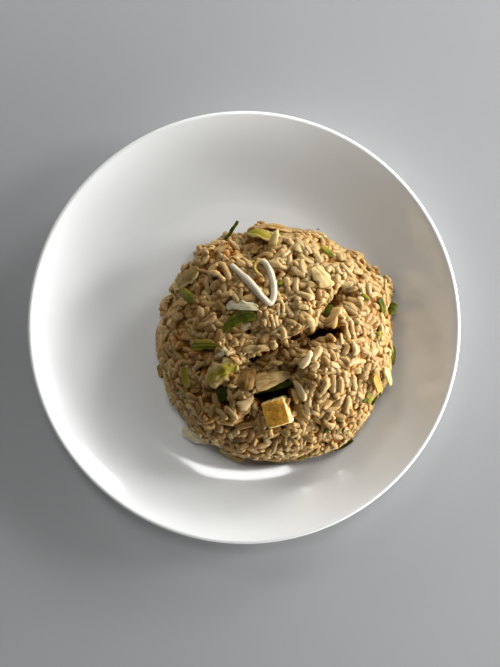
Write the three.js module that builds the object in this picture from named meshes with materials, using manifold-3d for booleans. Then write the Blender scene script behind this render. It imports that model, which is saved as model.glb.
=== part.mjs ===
// A bowlful of fried rice turned out on a round coupe plate, with the pieces of egg, tofu, cabbage,
// onion, spring onion and bean sprout that show in its surface.
//
// Millimetres, +Z up. The origin is on the plate's axis, in the plane of its foot. -Y is the front.
// Toppings are placed by the direction in which they are seen from the middle of the heap's foot:
// an azimuth, counted from +X towards +Y, and an elevation above the plate, both in degrees.

import * as THREE from "three";
import { mergeVertices } from "three/addons/utils/BufferGeometryUtils.js";
import Module from "manifold-3d";

const wasm = await Module();
wasm.setup();

// ---- Driving dimensions ----

const GAP = 0.3; // between pieces that touch

const PLATE_RADIUS = 102.5;
const PLATE_HEIGHT = 24;
const PLATE_SIDES = 52;
const WELL_RADIUS = 60; // where the flat floor starts to curve up
const WELL_FLOOR = 6; // height of the floor above the table
const WELL_WALL = 3.6; // thickness at the edge of the floor
const LIP_WALL = 2.6; // thickness at the rim
const WALL_STEPS = 5;
const FOOT_RADIUS = 57;
const FOOT_WIDTH = 4;
const FOOT_DEPTH = 2.2;

const HEAP_X = 15; // the heap stands a little off the plate's centre
const HEAP_Y = -7.9;
const HEAP_RADIUS = 56; // of the bare core, at its foot
const HEAP_HEIGHT = 44; // of the bare core, above the plate's floor
const HEAP_ROUNDNESS = 2.35; // 2 is an ellipsoid, more is squarer, as the inside of a bowl is
const STEEPEST = 0.3; // upward share of a side's normal below which pieces stop turning to face up
const CORE_DETAIL = 8; // how finely the core's faces are split
const PIT_DEPTH = 0.9; // unevenness between the grains
const PIT_PITCH = 31;

const GRAIN_COUNT = 212;
const GRAIN_LENGTH = 7.8;
const GRAIN_WIDTH = 3.2;
const GRAIN_SIDES = 5;
const GRAIN_SEED = 11;

// ---- Small helpers ----

const radians = THREE.MathUtils.degToRad;
const lerp = THREE.MathUtils.lerp;

// A repeatable stream of numbers from 0 to 1.
function randomStream(seed) {
  let state = seed;
  return () => {
    state = (state * 1664525 + 1013904223) % 4294967296;
    return state / 4294967296;
  };
}

// The closed solid of a geometry, for joining and cutting.
function solidOf(geometry) {
  const bare = geometry.clone();
  for (const name of ["normal", "uv"]) bare.deleteAttribute(name);
  const merged = mergeVertices(bare, 1e-4);
  return new wasm.Manifold(
    new wasm.Mesh({
      numProp: 3,
      vertProperties: merged.attributes.position.array,
      triVerts: new Uint32Array(merged.index.array),
    }),
  );
}

// The geometry of a solid.
function geometryOf(solid) {
  const { vertProperties, triVerts } = solid.getMesh();
  const geometry = new THREE.BufferGeometry();
  geometry.setAttribute("position", new THREE.BufferAttribute(new Float32Array(vertProperties), 3));
  geometry.setIndex(new THREE.BufferAttribute(new Uint32Array(triVerts), 1));
  geometry.computeVertexNormals();
  return geometry;
}

// The largest body of a solid: loose scraps are dropped, and sealed hollows are filled.
function largestBody(solid) {
  const bodies = solid.decompose();
  return bodies.reduce((best, body) => (body.volume() > best.volume() ? body : best));
}

function namedMesh(name, geometry, color, roughness) {
  const mesh = new THREE.Mesh(geometry, new THREE.MeshStandardMaterial({ color, roughness, metalness: 0 }));
  mesh.name = name;
  return mesh;
}

// ---- Plate ----

// The curve of the wall halfway through its thickness, from the floor's edge (0) to the lip (1).
function wallMiddle(s) {
  const lip = LIP_WALL / 2;
  const startZ = WELL_FLOOR - WELL_WALL / 2;
  const r = lerp(WELL_RADIUS, PLATE_RADIUS - lip, s);
  const z = lerp(startZ, PLATE_HEIGHT - lip, s ** 2);
  const slope = (2 * s * (PLATE_HEIGHT - lip - startZ)) / (PLATE_RADIUS - lip - WELL_RADIUS);
  return { r, z, angle: Math.atan(slope), half: lerp(WELL_WALL, LIP_WALL, s) / 2 };
}

function wallFace(s, side) {
  const { r, z, angle, half } = wallMiddle(s);
  return new THREE.Vector2(r - side * half * Math.sin(angle), z + side * half * Math.cos(angle));
}

// Underside, foot ring, outer wall, round lip, inner wall and floor, from the axis and back to it.
function plateProfile() {
  const lipSteps = 4;
  const points = [
    new THREE.Vector2(0, FOOT_DEPTH),
    new THREE.Vector2(FOOT_RADIUS - FOOT_WIDTH - 1, FOOT_DEPTH),
    new THREE.Vector2(FOOT_RADIUS - FOOT_WIDTH, 0),
    new THREE.Vector2(FOOT_RADIUS, 0),
  ];
  for (let i = 0; i <= WALL_STEPS; i++) points.push(wallFace(i / WALL_STEPS, -1));
  const lip = wallMiddle(1);
  for (let i = 1; i < lipSteps; i++) {
    const turn = lip.angle - Math.PI / 2 + (Math.PI * i) / lipSteps;
    points.push(new THREE.Vector2(lip.r + lip.half * Math.cos(turn), lip.z + lip.half * Math.sin(turn)));
  }
  for (let i = WALL_STEPS; i >= 0; i--) points.push(wallFace(i / WALL_STEPS, 1));
  points.push(new THREE.Vector2(0, WELL_FLOOR));
  return points;
}

function plateGeometry() {
  return new THREE.LatheGeometry(plateProfile(), PLATE_SIDES).rotateX(Math.PI / 2);
}

// Everything below the plate's eating surface, with the gap on top of it.
function underPlateGeometry() {
  const bottom = -WELL_FLOOR;
  const points = [new THREE.Vector2(0, bottom), new THREE.Vector2(PLATE_RADIUS, bottom)];
  for (let i = WALL_STEPS; i >= 0; i--) {
    const face = wallFace(i / WALL_STEPS, 1);
    points.push(new THREE.Vector2(face.x, face.y + GAP));
  }
  points.push(new THREE.Vector2(0, WELL_FLOOR + GAP));
  return new THREE.LatheGeometry(points, PLATE_SIDES).rotateX(Math.PI / 2);
}

// ---- Heap ----

// Cracks and hollows where the turned-out heap has broken open. Points are from the heap's axis.
const DENTS = [
  { line: [[31, 24], [23, 15], [20, 6], [12, 1], [2, -4], [-8, -8], [-15, -11]], width: 5.5, depth: 7.5 },
  { line: [[-10, -13], [-2, -15], [6, -16]], width: 9, depth: 4.5 },
  { line: [[-11, -24.5], [-2, -22.5], [7, -19.5]], width: 4, depth: 6.5 },
  { line: [[7, -20], [9.5, -28], [10, -34]], width: 3.5, depth: 4 },
  { line: [[-17, 49], [-14, 42]], width: 4, depth: 4 },
  { line: [[-27, -19], [-24, -25]], width: 4, depth: 3 },
];

// Clumps that stand proud of the bowl's shape.
const LUMPS = [
  { at: [-12, 14], width: 17, height: 2.6 },
  { at: [19, 22], width: 12, height: 1.2 },
  { at: [26, -8], width: 15, height: 1.8 },
  { at: [-24, -6], width: 11, height: 1.2 },
  { at: [-30, 33], width: 8, height: 1.6 },
  { at: [47, 26], width: 8, height: 3.5 },
  { at: [-26, 46], width: 12, height: 1.6 },
  { at: [-36, -42], width: 16, height: 1.4 },
  { at: [33, -46], width: 9, height: 2.2 },
];

function distanceToLine(x, y, line) {
  let nearest = Infinity;
  for (let i = 1; i < line.length; i++) {
    const [ax, ay] = line[i - 1];
    const [bx, by] = [line[i][0] - ax, line[i][1] - ay];
    const t = THREE.MathUtils.clamp(((x - ax) * bx + (y - ay) * by) / (bx * bx + by * by), 0, 1);
    nearest = Math.min(nearest, Math.hypot(x - ax - t * bx, y - ay - t * by));
  }
  return nearest;
}

function relief(x, y) {
  let height = 0.9 * Math.sin(0.21 * x + 0.6) * Math.cos(0.19 * y - 0.4);
  for (const { at, width, height: rise } of LUMPS) {
    height += rise * Math.exp(-(((x - at[0]) / width) ** 2) - ((y - at[1]) / width) ** 2);
  }
  for (const { line, width, depth } of DENTS) {
    height -= depth * (1 - THREE.MathUtils.smoothstep(distanceToLine(x, y, line), 0, width));
  }
  return height;
}

// The bare core's surface in a direction from the middle of the heap's foot.
function heapPoint(direction) {
  const across = Math.hypot(direction.x, direction.y) / HEAP_RADIUS;
  const up = Math.abs(direction.z) / HEAP_HEIGHT;
  const reach = (across ** HEAP_ROUNDNESS + up ** HEAP_ROUNDNESS) ** (-1 / HEAP_ROUNDNESS);
  const length = reach + relief(direction.x * reach, direction.y * reach);
  return new THREE.Vector3(HEAP_X, HEAP_Y, WELL_FLOOR).addScaledVector(direction, length);
}

function heapDirection([azimuth, elevation]) {
  const level = Math.cos(radians(elevation));
  return new THREE.Vector3(
    level * Math.cos(radians(azimuth)),
    level * Math.sin(radians(azimuth)),
    Math.sin(radians(elevation)),
  );
}

// Outward normal of the core, smoothed over about a grain's length.
function heapNormal(direction) {
  const reach = 0.07;
  const side = new THREE.Vector3(-direction.y, direction.x, 0);
  if (side.length() < 1e-6) side.set(1, 0, 0);
  side.normalize();
  const rise = direction.clone().cross(side).normalize();
  const at = (axis, step) => heapPoint(direction.clone().addScaledVector(axis, step).normalize());
  const alongSide = at(side, reach).sub(at(side, -reach));
  const alongRise = at(rise, reach).sub(at(rise, -reach));
  const normal = alongSide.cross(alongRise).normalize();
  return normal.dot(direction) < 0 ? normal.negate() : normal;
}

// A frame on the core: X runs along the heading as seen from above, and Z stands out of the heap, or
// straight up for a level piece. Pitch lifts the front end and roll turns the piece about its length.
function heapFrame({ at, heading, lift = 0, pitch = 0, roll = 0, level = false }) {
  const direction = heapDirection(at);
  const outward = heapNormal(direction);
  const normal = level ? new THREE.Vector3(0, 0, 1) : outward;
  const along = new THREE.Vector3(Math.cos(radians(heading)), Math.sin(radians(heading)), 0);
  along.z = -along.dot(normal) / Math.max(normal.z, STEEPEST);
  along.addScaledVector(normal, -along.dot(normal)).normalize();
  const across = normal.clone().cross(along);
  const frame = new THREE.Matrix4().makeBasis(along, across, normal);
  const turn = new THREE.Euler(radians(roll), radians(-pitch), 0);
  frame.multiply(new THREE.Matrix4().makeRotationFromEuler(turn));
  return frame.setPosition(heapPoint(direction).addScaledVector(outward, lift));
}

// Lays a flat piece on the core, following its curves, with the gap under its lowest points.
function drape(geometry, placement, grow = 0) {
  const frame = heapFrame({ ...placement, lift: 0 });
  const middle = new THREE.Vector3(HEAP_X, HEAP_Y, WELL_FLOOR);
  geometry.computeBoundingBox();
  const rest = GAP - grow - geometry.boundingBox.min.z + (placement.lift ?? 0);
  const position = geometry.attributes.position;
  for (let i = 0; i < position.count; i++) {
    const flat = new THREE.Vector3(position.getX(i), position.getY(i), 0).applyMatrix4(frame);
    const direction = flat.sub(middle).normalize();
    const point = heapPoint(direction).addScaledVector(heapNormal(direction), position.getZ(i) + rest);
    position.setXYZ(i, point.x, point.y, point.z);
  }
  return geometry;
}

function coreGeometry() {
  const ball = new THREE.IcosahedronGeometry(1, CORE_DETAIL);
  const position = ball.attributes.position;
  const direction = new THREE.Vector3();
  for (let i = 0; i < position.count; i++) {
    direction.fromBufferAttribute(position, i).normalize();
    const under = direction.z < 0;
    if (under) direction.z *= 0.02; // the lower half is pressed flat, to be cut off by the plate
    const point = heapPoint(direction.normalize());
    const pitted = Math.sin(PIT_PITCH * direction.x) * Math.sin(PIT_PITCH * direction.y + 1);
    point.addScaledVector(direction, -PIT_DEPTH * Math.abs(pitted));
    if (under) {
      const [x, y] = [position.getX(i), position.getY(i)];
      const spread = Math.hypot(x, y);
      point.lerp(new THREE.Vector3(HEAP_X, HEAP_Y, point.z), 1 - spread);
      point.z = WELL_FLOOR + 1.5 * position.getZ(i);
    }
    position.setXYZ(i, point.x, point.y, point.z);
  }
  return ball;
}

// ---- Toppings ----

// Closes an open grid into a thin solid. Both faces are split alike.
function thickened(sheet, thickness) {
  sheet.computeVertexNormals();
  const { position, normal } = sheet.attributes;
  const count = position.count;
  const vertices = [];
  for (const side of [1, -1]) {
    for (let i = 0; i < count; i++) {
      const shift = (side * thickness) / 2;
      vertices.push(
        position.getX(i) + shift * normal.getX(i),
        position.getY(i) + shift * normal.getY(i),
        position.getZ(i) + shift * normal.getZ(i),
      );
    }
  }
  const faces = [];
  const top = sheet.index.array;
  const edges = new Map();
  for (let i = 0; i < top.length; i += 3) {
    const [a, b, c] = [top[i], top[i + 1], top[i + 2]];
    faces.push(a, b, c, a + count, c + count, b + count);
    for (const [from, to] of [[a, b], [b, c], [c, a]]) edges.set(`${from},${to}`, [from, to]);
  }
  for (const [from, to] of edges.values()) {
    if (edges.has(`${to},${from}`)) continue;
    faces.push(from, from + count, to, to, from + count, to + count);
  }
  const solid = new THREE.BufferGeometry();
  solid.setAttribute("position", new THREE.Float32BufferAttribute(vertices, 3));
  solid.setIndex(faces);
  return solid;
}

// A wavy leaf or strip, about its own middle. It narrows to the share `tip` of its width at its ends,
// and loses the share `taper` of it from one end to the other. arch bows it up along its length, cup
// across its width, and sweep bends it sideways.
function leafGeometry(leaf, grow = 0) {
  const { length, width, thickness, tip = 0.45, taper = 0 } = leaf;
  const { arch = 0, cup = 0, sweep = 0, wave = 0 } = leaf;
  const along = Math.max(4, Math.round(length / 2.8));
  const across = Math.max(2, Math.round(width / 2.8));
  const sheet = new THREE.PlaneGeometry(2, 2, along, across);
  const position = sheet.attributes.position;
  for (let i = 0; i < position.count; i++) {
    const [u, v] = [position.getX(i), position.getY(i)];
    const breadth = lerp(1, tip, Math.abs(u) ** 2.4) * (1 - (taper * (u + 1)) / 2);
    const x = u * (length / 2 + grow);
    const y = v * (breadth * (width / 2) + grow) + sweep * (1 - u * u);
    const ripple = wave * Math.sin(3.1 * u + 1.7 * v) * Math.cos(2.3 * v - 1.1 * u);
    position.setXYZ(i, x, y, arch * (0.5 - u * u) + cup * (0.4 - v * v) + ripple);
  }
  return thickened(sheet, thickness + 2 * grow);
}

// A block of fried tofu with worn edges.
function tofuGeometry({ length, width, height }, grow = 0) {
  const block = new THREE.BoxGeometry(2, 2, 2, 3, 3, 2);
  const position = block.attributes.position;
  for (let i = 0; i < position.count; i++) {
    const corner = new THREE.Vector3().fromBufferAttribute(position, i);
    const worn = 1 - 0.035 * corner.lengthSq() * (Math.abs(corner.x * corner.y * corner.z) > 0.2 ? 1 : 0.6);
    position.setXYZ(
      i,
      corner.x * (worn * (length / 2) + grow),
      corner.y * (worn * (width / 2) + grow),
      corner.z * (worn * (height / 2) + grow) + 0.25 * Math.sin(2 * corner.x + corner.y),
    );
  }
  return block;
}

// A round stalk along a line of points, with its thickness at each. It is made as an upright cylinder
// and laid along the curve.
function stalkGeometry(points, radii, sides, grow = 0) {
  const curve = new THREE.CatmullRomCurve3(points, false, "centripetal");
  const steps = points.length * 2;
  const stalk = new THREE.CylinderGeometry(1, 1, 1, sides, steps);
  const position = stalk.attributes.position;
  const up = new THREE.Vector3(0, 0, 1);
  for (let i = 0; i < position.count; i++) {
    const t = position.getY(i) + 0.5;
    const slot = Math.min(radii.length - 2, Math.floor(t * (radii.length - 1)));
    const radius = lerp(radii[slot], radii[slot + 1], t * (radii.length - 1) - slot) + grow;
    const tangent = curve.getTangent(t);
    const side = tangent.clone().cross(up).normalize();
    const over = side.clone().cross(tangent);
    const point = curve.getPoint(t);
    if (grow > 0 && (t < 1e-6 || t > 1 - 1e-6)) point.addScaledVector(tangent, t < 0.5 ? -grow : grow);
    point.addScaledVector(side, radius * position.getX(i)).addScaledVector(over, radius * position.getZ(i));
    position.setXYZ(i, point.x, point.y, point.z);
  }
  return stalk;
}

// ---- The pieces on the heap ----

// The sprout is folded into a V, and its thin root curls back at one end.
const SPROUT = {
  name: "bean_sprout",
  path: [
    [120, 41], [118, 46.5], [115, 52.5], [112, 59], [109, 63.5], [104, 67], [100.5, 67.5], [96, 65],
    [94, 60.5], [94, 56], [95, 50.5], [97, 46], [100, 43], [104, 43.3], [106, 45.5], [105, 49], [102, 52],
  ],
  radii: [1, 1.15, 1.3, 1.35, 1.35, 1.2, 1.05, 1.15, 1.25, 1.25, 1.15, 1.05, 0.9, 0.65, 0.5, 0.45, 0.4],
  clearance: 0.45,
  sides: 6,
  color: 0xe6dfcb,
};

const TOFU = {
  name: "tofu_cube",
  at: [270, 51.5], heading: 18, lift: -2.2, roll: -20,
  length: 12, width: 12.8, height: 8,
  color: 0xc9973a,
};

// A round of spring onion stalk, standing out of the side.
const KNOB = {
  name: "scallion_knob",
  at: [17.5, 12], heading: 60, lift: 2, level: true,
  length: 4.6, radius: 2.4, sides: 8,
  color: 0x4d5f1e,
};

const GREEN = 0x4f6b1f;
const DARK_GREEN = 0x2f4512;
const YELLOW_GREEN = 0x98982f;
const PALE = 0xc9b98c;
const EGG = 0xe0b04a;

// Pieces that lie on the heap and follow it.
const LEAVES = [
  {
    name: "cabbage_stem", at: [261.3, 69], heading: 12, lift: 0.8,
    length: 15, width: 6.8, thickness: 1.6, tip: 0.8, taper: 0.5, arch: 0.6, color: PALE,
  },
  {
    name: "cabbage_fold", at: [230, 62.3], heading: -20, lift: 0.2,
    length: 6.4, width: 7.4, thickness: 1.1, tip: 0.75, arch: 1, cup: 1.2, color: 0x8a6a3c,
  },
  {
    name: "cabbage_leaf", at: [206, 55.2], heading: 38,
    length: 15.6, width: 10.5, thickness: 1, tip: 0.55, arch: 0.8, cup: 1, wave: 0.6, color: YELLOW_GREEN,
  },
  {
    name: "scallion_bow", at: [150.5, 66.5], heading: 27,
    length: 15.6, width: 4.2, thickness: 1.1, tip: 0.4, arch: 0.6, cup: 0.5, sweep: 2, color: GREEN,
  },
  {
    name: "scallion_pale", at: [133.3, 62.2], heading: -3,
    length: 14.4, width: 3.3, thickness: 0.8, tip: 0.5, arch: 0.8, cup: 0.5, wave: 0.3, color: 0x9d9a72,
  },
  {
    name: "scallion_left", at: [181.5, 50], heading: 7,
    length: 12.8, width: 4.8, thickness: 0.9, tip: 0.35, arch: 0.6, cup: 0.8, sweep: 1, color: GREEN,
  },
  {
    name: "scallion_low_left", at: [200, 36], heading: -80,
    length: 9.5, width: 5, thickness: 0.8, tip: 0.6, arch: 0.4, cup: 0.6, color: 0x707826,
  },
  {
    name: "cabbage_top", at: [97.4, 27.2], heading: -24,
    length: 16, width: 6.8, thickness: 0.9, tip: 0.4, arch: 1.3, cup: 0.8, wave: 0.4, color: 0x8f9438,
  },
  {
    name: "leaf_top_brown", at: [91.5, 18], heading: -4,
    length: 18, width: 8, thickness: 0.8, tip: 0.6, arch: 1.8, cup: 0.7, wave: 0.4, color: 0xa37a4e,
  },
  {
    name: "onion_left", at: [143.6, 25], heading: 30,
    length: 16, width: 10.5, thickness: 1.1, tip: 0.6, arch: 1, cup: 0.9, wave: 0.3, color: 0x8d7a44,
  },
  {
    name: "scallion_rim_left", at: [151.8, 31.5], heading: -42,
    length: 10.5, width: 4.4, thickness: 0.8, tip: 0.45, arch: 0.5, cup: 0.5, sweep: 1, color: 0x6c7c2a,
  },
  {
    name: "onion_square", at: [57, 45.5], heading: -57,
    length: 10.6, width: 8.4, thickness: 1.2, tip: 0.85, arch: 0.4, cup: 0.9, wave: 0.4, color: PALE,
  },
  {
    name: "scallion_chip", at: [61.2, 27.5], heading: -48,
    length: 7.6, width: 3.6, thickness: 0.8, tip: 0.5, arch: 0.3, color: GREEN,
  },
  {
    name: "scallion_right", at: [20, 25], heading: -72,
    length: 8, width: 3.4, thickness: 0.8, tip: 0.5, arch: 0.4, color: DARK_GREEN,
  },
  {
    name: "scallion_low_right_1", at: [329.6, 26.4], heading: -70,
    length: 9, width: 3.4, thickness: 0.8, tip: 0.4, arch: 0.4, cup: 0.3, color: 0x788437,
  },
  {
    name: "scallion_low_right_2", at: [330.8, 18], heading: -100,
    length: 6.6, width: 2.6, thickness: 0.8, tip: 0.5, arch: 0.2, color: DARK_GREEN,
  },
  {
    name: "egg_shred_right_1", at: [339, 29.6], heading: -72, lift: 0.5,
    length: 9, width: 3.8, thickness: 1.3, tip: 0.6, arch: 0.5, color: EGG,
  },
  {
    name: "egg_shred_right_2", at: [344, 23], heading: -74, lift: 0.5,
    length: 11, width: 3, thickness: 1.2, tip: 0.6, arch: 0.4, color: EGG,
  },
];

// Pieces that keep their own form: two small ones in hollows, one in the slot behind the tofu, some
// that stand out of the side, and some that lean on the heap's foot.
const PROUD = [
  {
    name: "scallion_dark", at: [222, 46.7], heading: -78, lift: 1.4,
    length: 6.5, width: 5, thickness: 0.8, tip: 0.7, arch: 0.2, cup: 0.8, color: DARK_GREEN,
  },
  {
    name: "scallion_crack", at: [32.9, 51], heading: 62, lift: 1.4, roll: -20,
    length: 6, width: 3.6, thickness: 0.8, tip: 0.6, arch: 0.2, cup: 0.5, color: DARK_GREEN,
  },
  {
    name: "green_leaf_slot", at: [266, 61.4], heading: 13, lift: 0.4, roll: 48,
    length: 17, width: 4, thickness: 0.8, tip: 0.45, arch: 0.8, cup: 0.5, color: DARK_GREEN,
  },
  {
    name: "scallion_sliver", at: [112.2, 14], heading: 58, lift: 3, pitch: 10, roll: 30, level: true,
    length: 11.6, width: 2.2, thickness: 0.8, tip: 0.35, arch: 0.3, sweep: -0.6, color: GREEN,
  },
  {
    name: "scallion_edge_right", at: [354.3, 9], heading: 88, lift: 1.4, roll: 50, level: true,
    length: 8.4, width: 3.4, thickness: 0.9, tip: 0.5, arch: 0.6, color: 0x5d6524,
  },
  {
    name: "scallion_low", at: [304, 3.6], heading: 28, lift: 2, roll: 35, level: true,
    length: 10.5, width: 2.6, thickness: 0.8, tip: 0.4, arch: 0.6, color: DARK_GREEN,
  },
  {
    name: "egg_strip", at: [248.8, 2], heading: -27, lift: 1.6, roll: 35, level: true,
    length: 12.5, width: 2.8, thickness: 1.1, tip: 0.5, arch: 0.6, color: 0xb98732,
  },
  {
    name: "cabbage_low_left", at: [229, 7.6], heading: -22, lift: 1.2, roll: 38, level: true,
    length: 14.5, width: 8, thickness: 0.9, tip: 0.45, arch: 1.2, cup: 1, wave: 0.5, color: 0xb7a873,
  },
  {
    name: "egg_chip_left", at: [193.2, 2], heading: -84, lift: 2.4, roll: 40, level: true,
    length: 6, width: 3.2, thickness: 1, tip: 0.7, arch: 0.2, color: EGG,
  },
];

// Chips too small to be pieces of their own are part of the rice.
const CHIPS = [
  { at: [300, 36], heading: 30, length: 4, width: 2.4 },
  { at: [328, 31], heading: 10, length: 4.5, width: 2.4 },
  { at: [335, 19], heading: 80, length: 3.6, width: 2 },
  { at: [28, 34], heading: -40, length: 4.5, width: 2.4 },
  { at: [5, 30], heading: 70, length: 4.5, width: 2.2 },
  { at: [197, 22], heading: -60, length: 4, width: 2.4 },
  { at: [85, 55], heading: 20, length: 4.4, width: 2.4 },
  { at: [283, 15], heading: 5, length: 4, width: 2.4 },
];
const CHIP = { lift: 0.8, thickness: 1.4, tip: 0.6 };

function sproutGeometry({ path, radii, clearance, sides }, grow = 0) {
  const points = path.map((at, i) => {
    const direction = heapDirection(at);
    const lift = radii[Math.min(i, radii.length - 1)] + clearance;
    return heapPoint(direction).addScaledVector(heapNormal(direction), lift);
  });
  return stalkGeometry(points, radii, sides, grow);
}

function knobGeometry({ length, radius, sides }, grow = 0) {
  const middle = 0.12 * length; // it is slightly bent
  const points = [-0.5, 0, 0.5].map((t) => new THREE.Vector3(t * length, 0, middle * (1 - 4 * t * t)));
  return stalkGeometry(points, [0.9 * radius, radius, 0.85 * radius], sides, grow);
}

function placedLeaf(leaf, grow = 0) {
  return leafGeometry(leaf, grow).applyMatrix4(heapFrame(leaf));
}

// Every topping, with a way to make it larger by the gap that its neighbours keep.
const toppings = [
  { ...SPROUT, shape: (grow) => sproutGeometry(SPROUT, grow) },
  { ...TOFU, shape: (grow) => tofuGeometry(TOFU, grow).applyMatrix4(heapFrame(TOFU)) },
  { ...KNOB, shape: (grow) => knobGeometry(KNOB, grow).applyMatrix4(heapFrame(KNOB)) },
  ...LEAVES.map((leaf) => ({ ...leaf, shape: (grow) => drape(leafGeometry(leaf, grow), leaf, grow) })),
  ...PROUD.map((leaf) => ({ ...leaf, shape: (grow) => placedLeaf(leaf, grow) })),
];

// ---- Rice ----

// A blunt grain with few sides, bent a little, lying along X.
function grainGeometry(length, width, bend) {
  const grain = new THREE.SphereGeometry(1, GRAIN_SIDES, 3).rotateZ(-Math.PI / 2);
  const position = grain.attributes.position;
  for (let i = 0; i < position.count; i++) {
    const along = position.getX(i);
    const isRing = Math.abs(along) < 0.9;
    const blunt = isRing ? 1.12 : 1;
    position.setXYZ(
      i,
      ((isRing ? 1.25 : 1) * along * length) / 2,
      (blunt * position.getY(i) * width) / 2 + bend * along * along,
      (blunt * position.getZ(i) * width * 0.9) / 2,
    );
  }
  return grain;
}

// Lays the grains on the core along a spiral that spreads them evenly. One that would touch a topping
// or the plate is turned, raised and shortened, and left out if that isn't enough.
function grainSolids(obstacles) {
  const random = randomStream(GRAIN_SEED);
  const goldenAngle = 180 * (3 - Math.sqrt(5));
  const grains = [];
  for (let i = 0; i < GRAIN_COUNT; i++) {
    const height = lerp(0.03, 1, (i + 0.5) / GRAIN_COUNT);
    const elevation = THREE.MathUtils.radToDeg(Math.asin(height));
    const at = [i * goldenAngle + 4 * random(), elevation + 2 * random()];
    const width = GRAIN_WIDTH * lerp(0.88, 1.12, random());
    const length = GRAIN_LENGTH * lerp(0.78, 1.15, random());
    const bend = 0.5 * random();
    for (let shorter = 1; shorter > 0.6; shorter -= 0.12) {
      const heading = 360 * random();
      const pitch = 24 * (random() - 0.5);
      const frame = heapFrame({ at, heading, pitch, lift: 0.1 * width });
      const grain = solidOf(grainGeometry(shorter * length, width, bend).applyMatrix4(frame));
      if (!grain.intersect(obstacles).isEmpty()) continue;
      grains.push(grain);
      break;
    }
  }
  return grains;
}

function riceGeometry() {
  const grown = toppings.map(({ shape }) => solidOf(shape(GAP)));
  const obstacles = wasm.Manifold.union([solidOf(underPlateGeometry()), ...grown]);
  const core = solidOf(coreGeometry()).subtract(obstacles);
  const chips = CHIPS.map((chip) => solidOf(placedLeaf({ ...CHIP, ...chip })));
  return geometryOf(largestBody(wasm.Manifold.union([core, ...grainSolids(obstacles), ...chips])));
}

// ---- The part ----

const part = new THREE.Group();
part.add(namedMesh("plate", plateGeometry(), 0xe9e7e0, 0.12));
part.add(namedMesh("rice_mound", riceGeometry(), 0xb99a6a, 0.45));
for (const { name, shape, color } of toppings) part.add(namedMesh(name, shape(0), color, 0.4));

export default part;
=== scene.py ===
import math

import bmesh
import bpy
import numpy as np
from mathutils import Matrix, Vector


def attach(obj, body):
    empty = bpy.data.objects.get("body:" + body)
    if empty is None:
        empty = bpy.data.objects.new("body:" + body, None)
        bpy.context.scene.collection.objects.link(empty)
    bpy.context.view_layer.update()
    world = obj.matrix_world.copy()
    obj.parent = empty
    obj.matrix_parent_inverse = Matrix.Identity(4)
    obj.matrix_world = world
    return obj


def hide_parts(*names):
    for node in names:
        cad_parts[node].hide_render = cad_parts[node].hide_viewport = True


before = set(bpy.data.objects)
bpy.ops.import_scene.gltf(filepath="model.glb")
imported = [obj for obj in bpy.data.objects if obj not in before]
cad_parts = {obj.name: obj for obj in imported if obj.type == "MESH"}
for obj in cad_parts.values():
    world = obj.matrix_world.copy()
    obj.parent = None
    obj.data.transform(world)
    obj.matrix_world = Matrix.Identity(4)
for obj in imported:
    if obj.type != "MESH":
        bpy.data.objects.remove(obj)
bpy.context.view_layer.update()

bl_info = {
    "name": "Fried rice plate",
    "version": (1, 0, 0),
    "blender": (4, 5, 0),
    "location": "3D View > Sidebar > Fried rice",
    "description": "Dresses a plate of moulded fried rice: grains, vegetables, egg, tofu and the plate",
    "category": "Object",
}

MM = 0.001

# Lengths inside the shape functions are millimetres. A mesh is turned into metres as it is made.

# ---- Sizes that the heap's surface is worked out from ----

HEAP_MIDDLE = np.array([15.0, -7.9, 6.0])  # on the plate's floor, under the top of the heap
HEAP_RADIUS = 56.0
HEAP_HEIGHT = 44.0
HEAP_ROUNDNESS = 2.35
GRAIN_COVER = 1.7  # the outermost grains stand this far out of the bare core

# Cracks and hollows where the heap has broken open: points from its axis, half width and depth.
DENTS = (
    (((31, 24), (23, 15), (20, 6), (12, 1), (2, -4), (-8, -8), (-15, -11)), 5.5, 7.5),
    (((-10, -13), (-2, -15), (6, -16)), 9.0, 4.5),
    (((-11, -24.5), (-2, -22.5), (7, -19.5)), 4.0, 6.5),
    (((7, -20), (9.5, -28), (10, -34)), 3.5, 4.0),
    (((-17, 49), (-14, 42)), 4.0, 4.0),
    (((-27, -19), (-24, -25)), 4.0, 3.0),
)

# Clumps that stand proud of the bowl's shape: place, width and height.
LUMPS = (
    ((-12, 14), 17.0, 2.6),
    ((19, 22), 12.0, 1.2),
    ((26, -8), 15.0, 1.8),
    ((-24, -6), 11.0, 1.2),
    ((-30, 33), 8.0, 1.6),
    ((47, 26), 8.0, 3.5),
    ((-26, 46), 12.0, 1.6),
    ((-36, -42), 16.0, 1.4),
    ((33, -46), 9.0, 2.2),
)

PLATE_RADIUS = 102.5
PLATE_HEIGHT = 24.0
WELL_RADIUS = 60.0
WELL_FLOOR = 6.0
WELL_WALL = 3.6
LIP_WALL = 2.6
FOOT_RADIUS = 57.0
FOOT_WIDTH = 4.0
FOOT_DEPTH = 2.2
FOOT_FILLET = 1.6  # from the ring's inside to the flat underside
FOOT_CURVE = 0.9  # how high the ring's rounded edge starts
FOOT_FLATNESS = 1.6  # 1 is a round ring, and more has a wider flat to stand on


# ---- Settings ----


def length(name, text, default):
    return bpy.props.FloatProperty(
        name=name, description=text, default=default, subtype="DISTANCE", unit="LENGTH"
    )


def colour(name, text, default):
    return bpy.props.FloatVectorProperty(
        name=name, description=text, default=default, size=3, subtype="COLOR", min=0, max=1
    )


def number(name, text, default):
    return bpy.props.FloatProperty(name=name, description=text, default=default)


def count(name, text, default):
    return bpy.props.IntProperty(name=name, description=text, default=default, min=0)


class PlateSettings(bpy.types.PropertyGroup):
    glaze: colour("Glaze", "Colour of the white glaze", (0.89, 0.90, 0.885))
    roughness: number("Roughness", "Roughness of the glaze", 0.09)
    steps: count("Steps", "Steps round the plate", 160)


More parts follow.
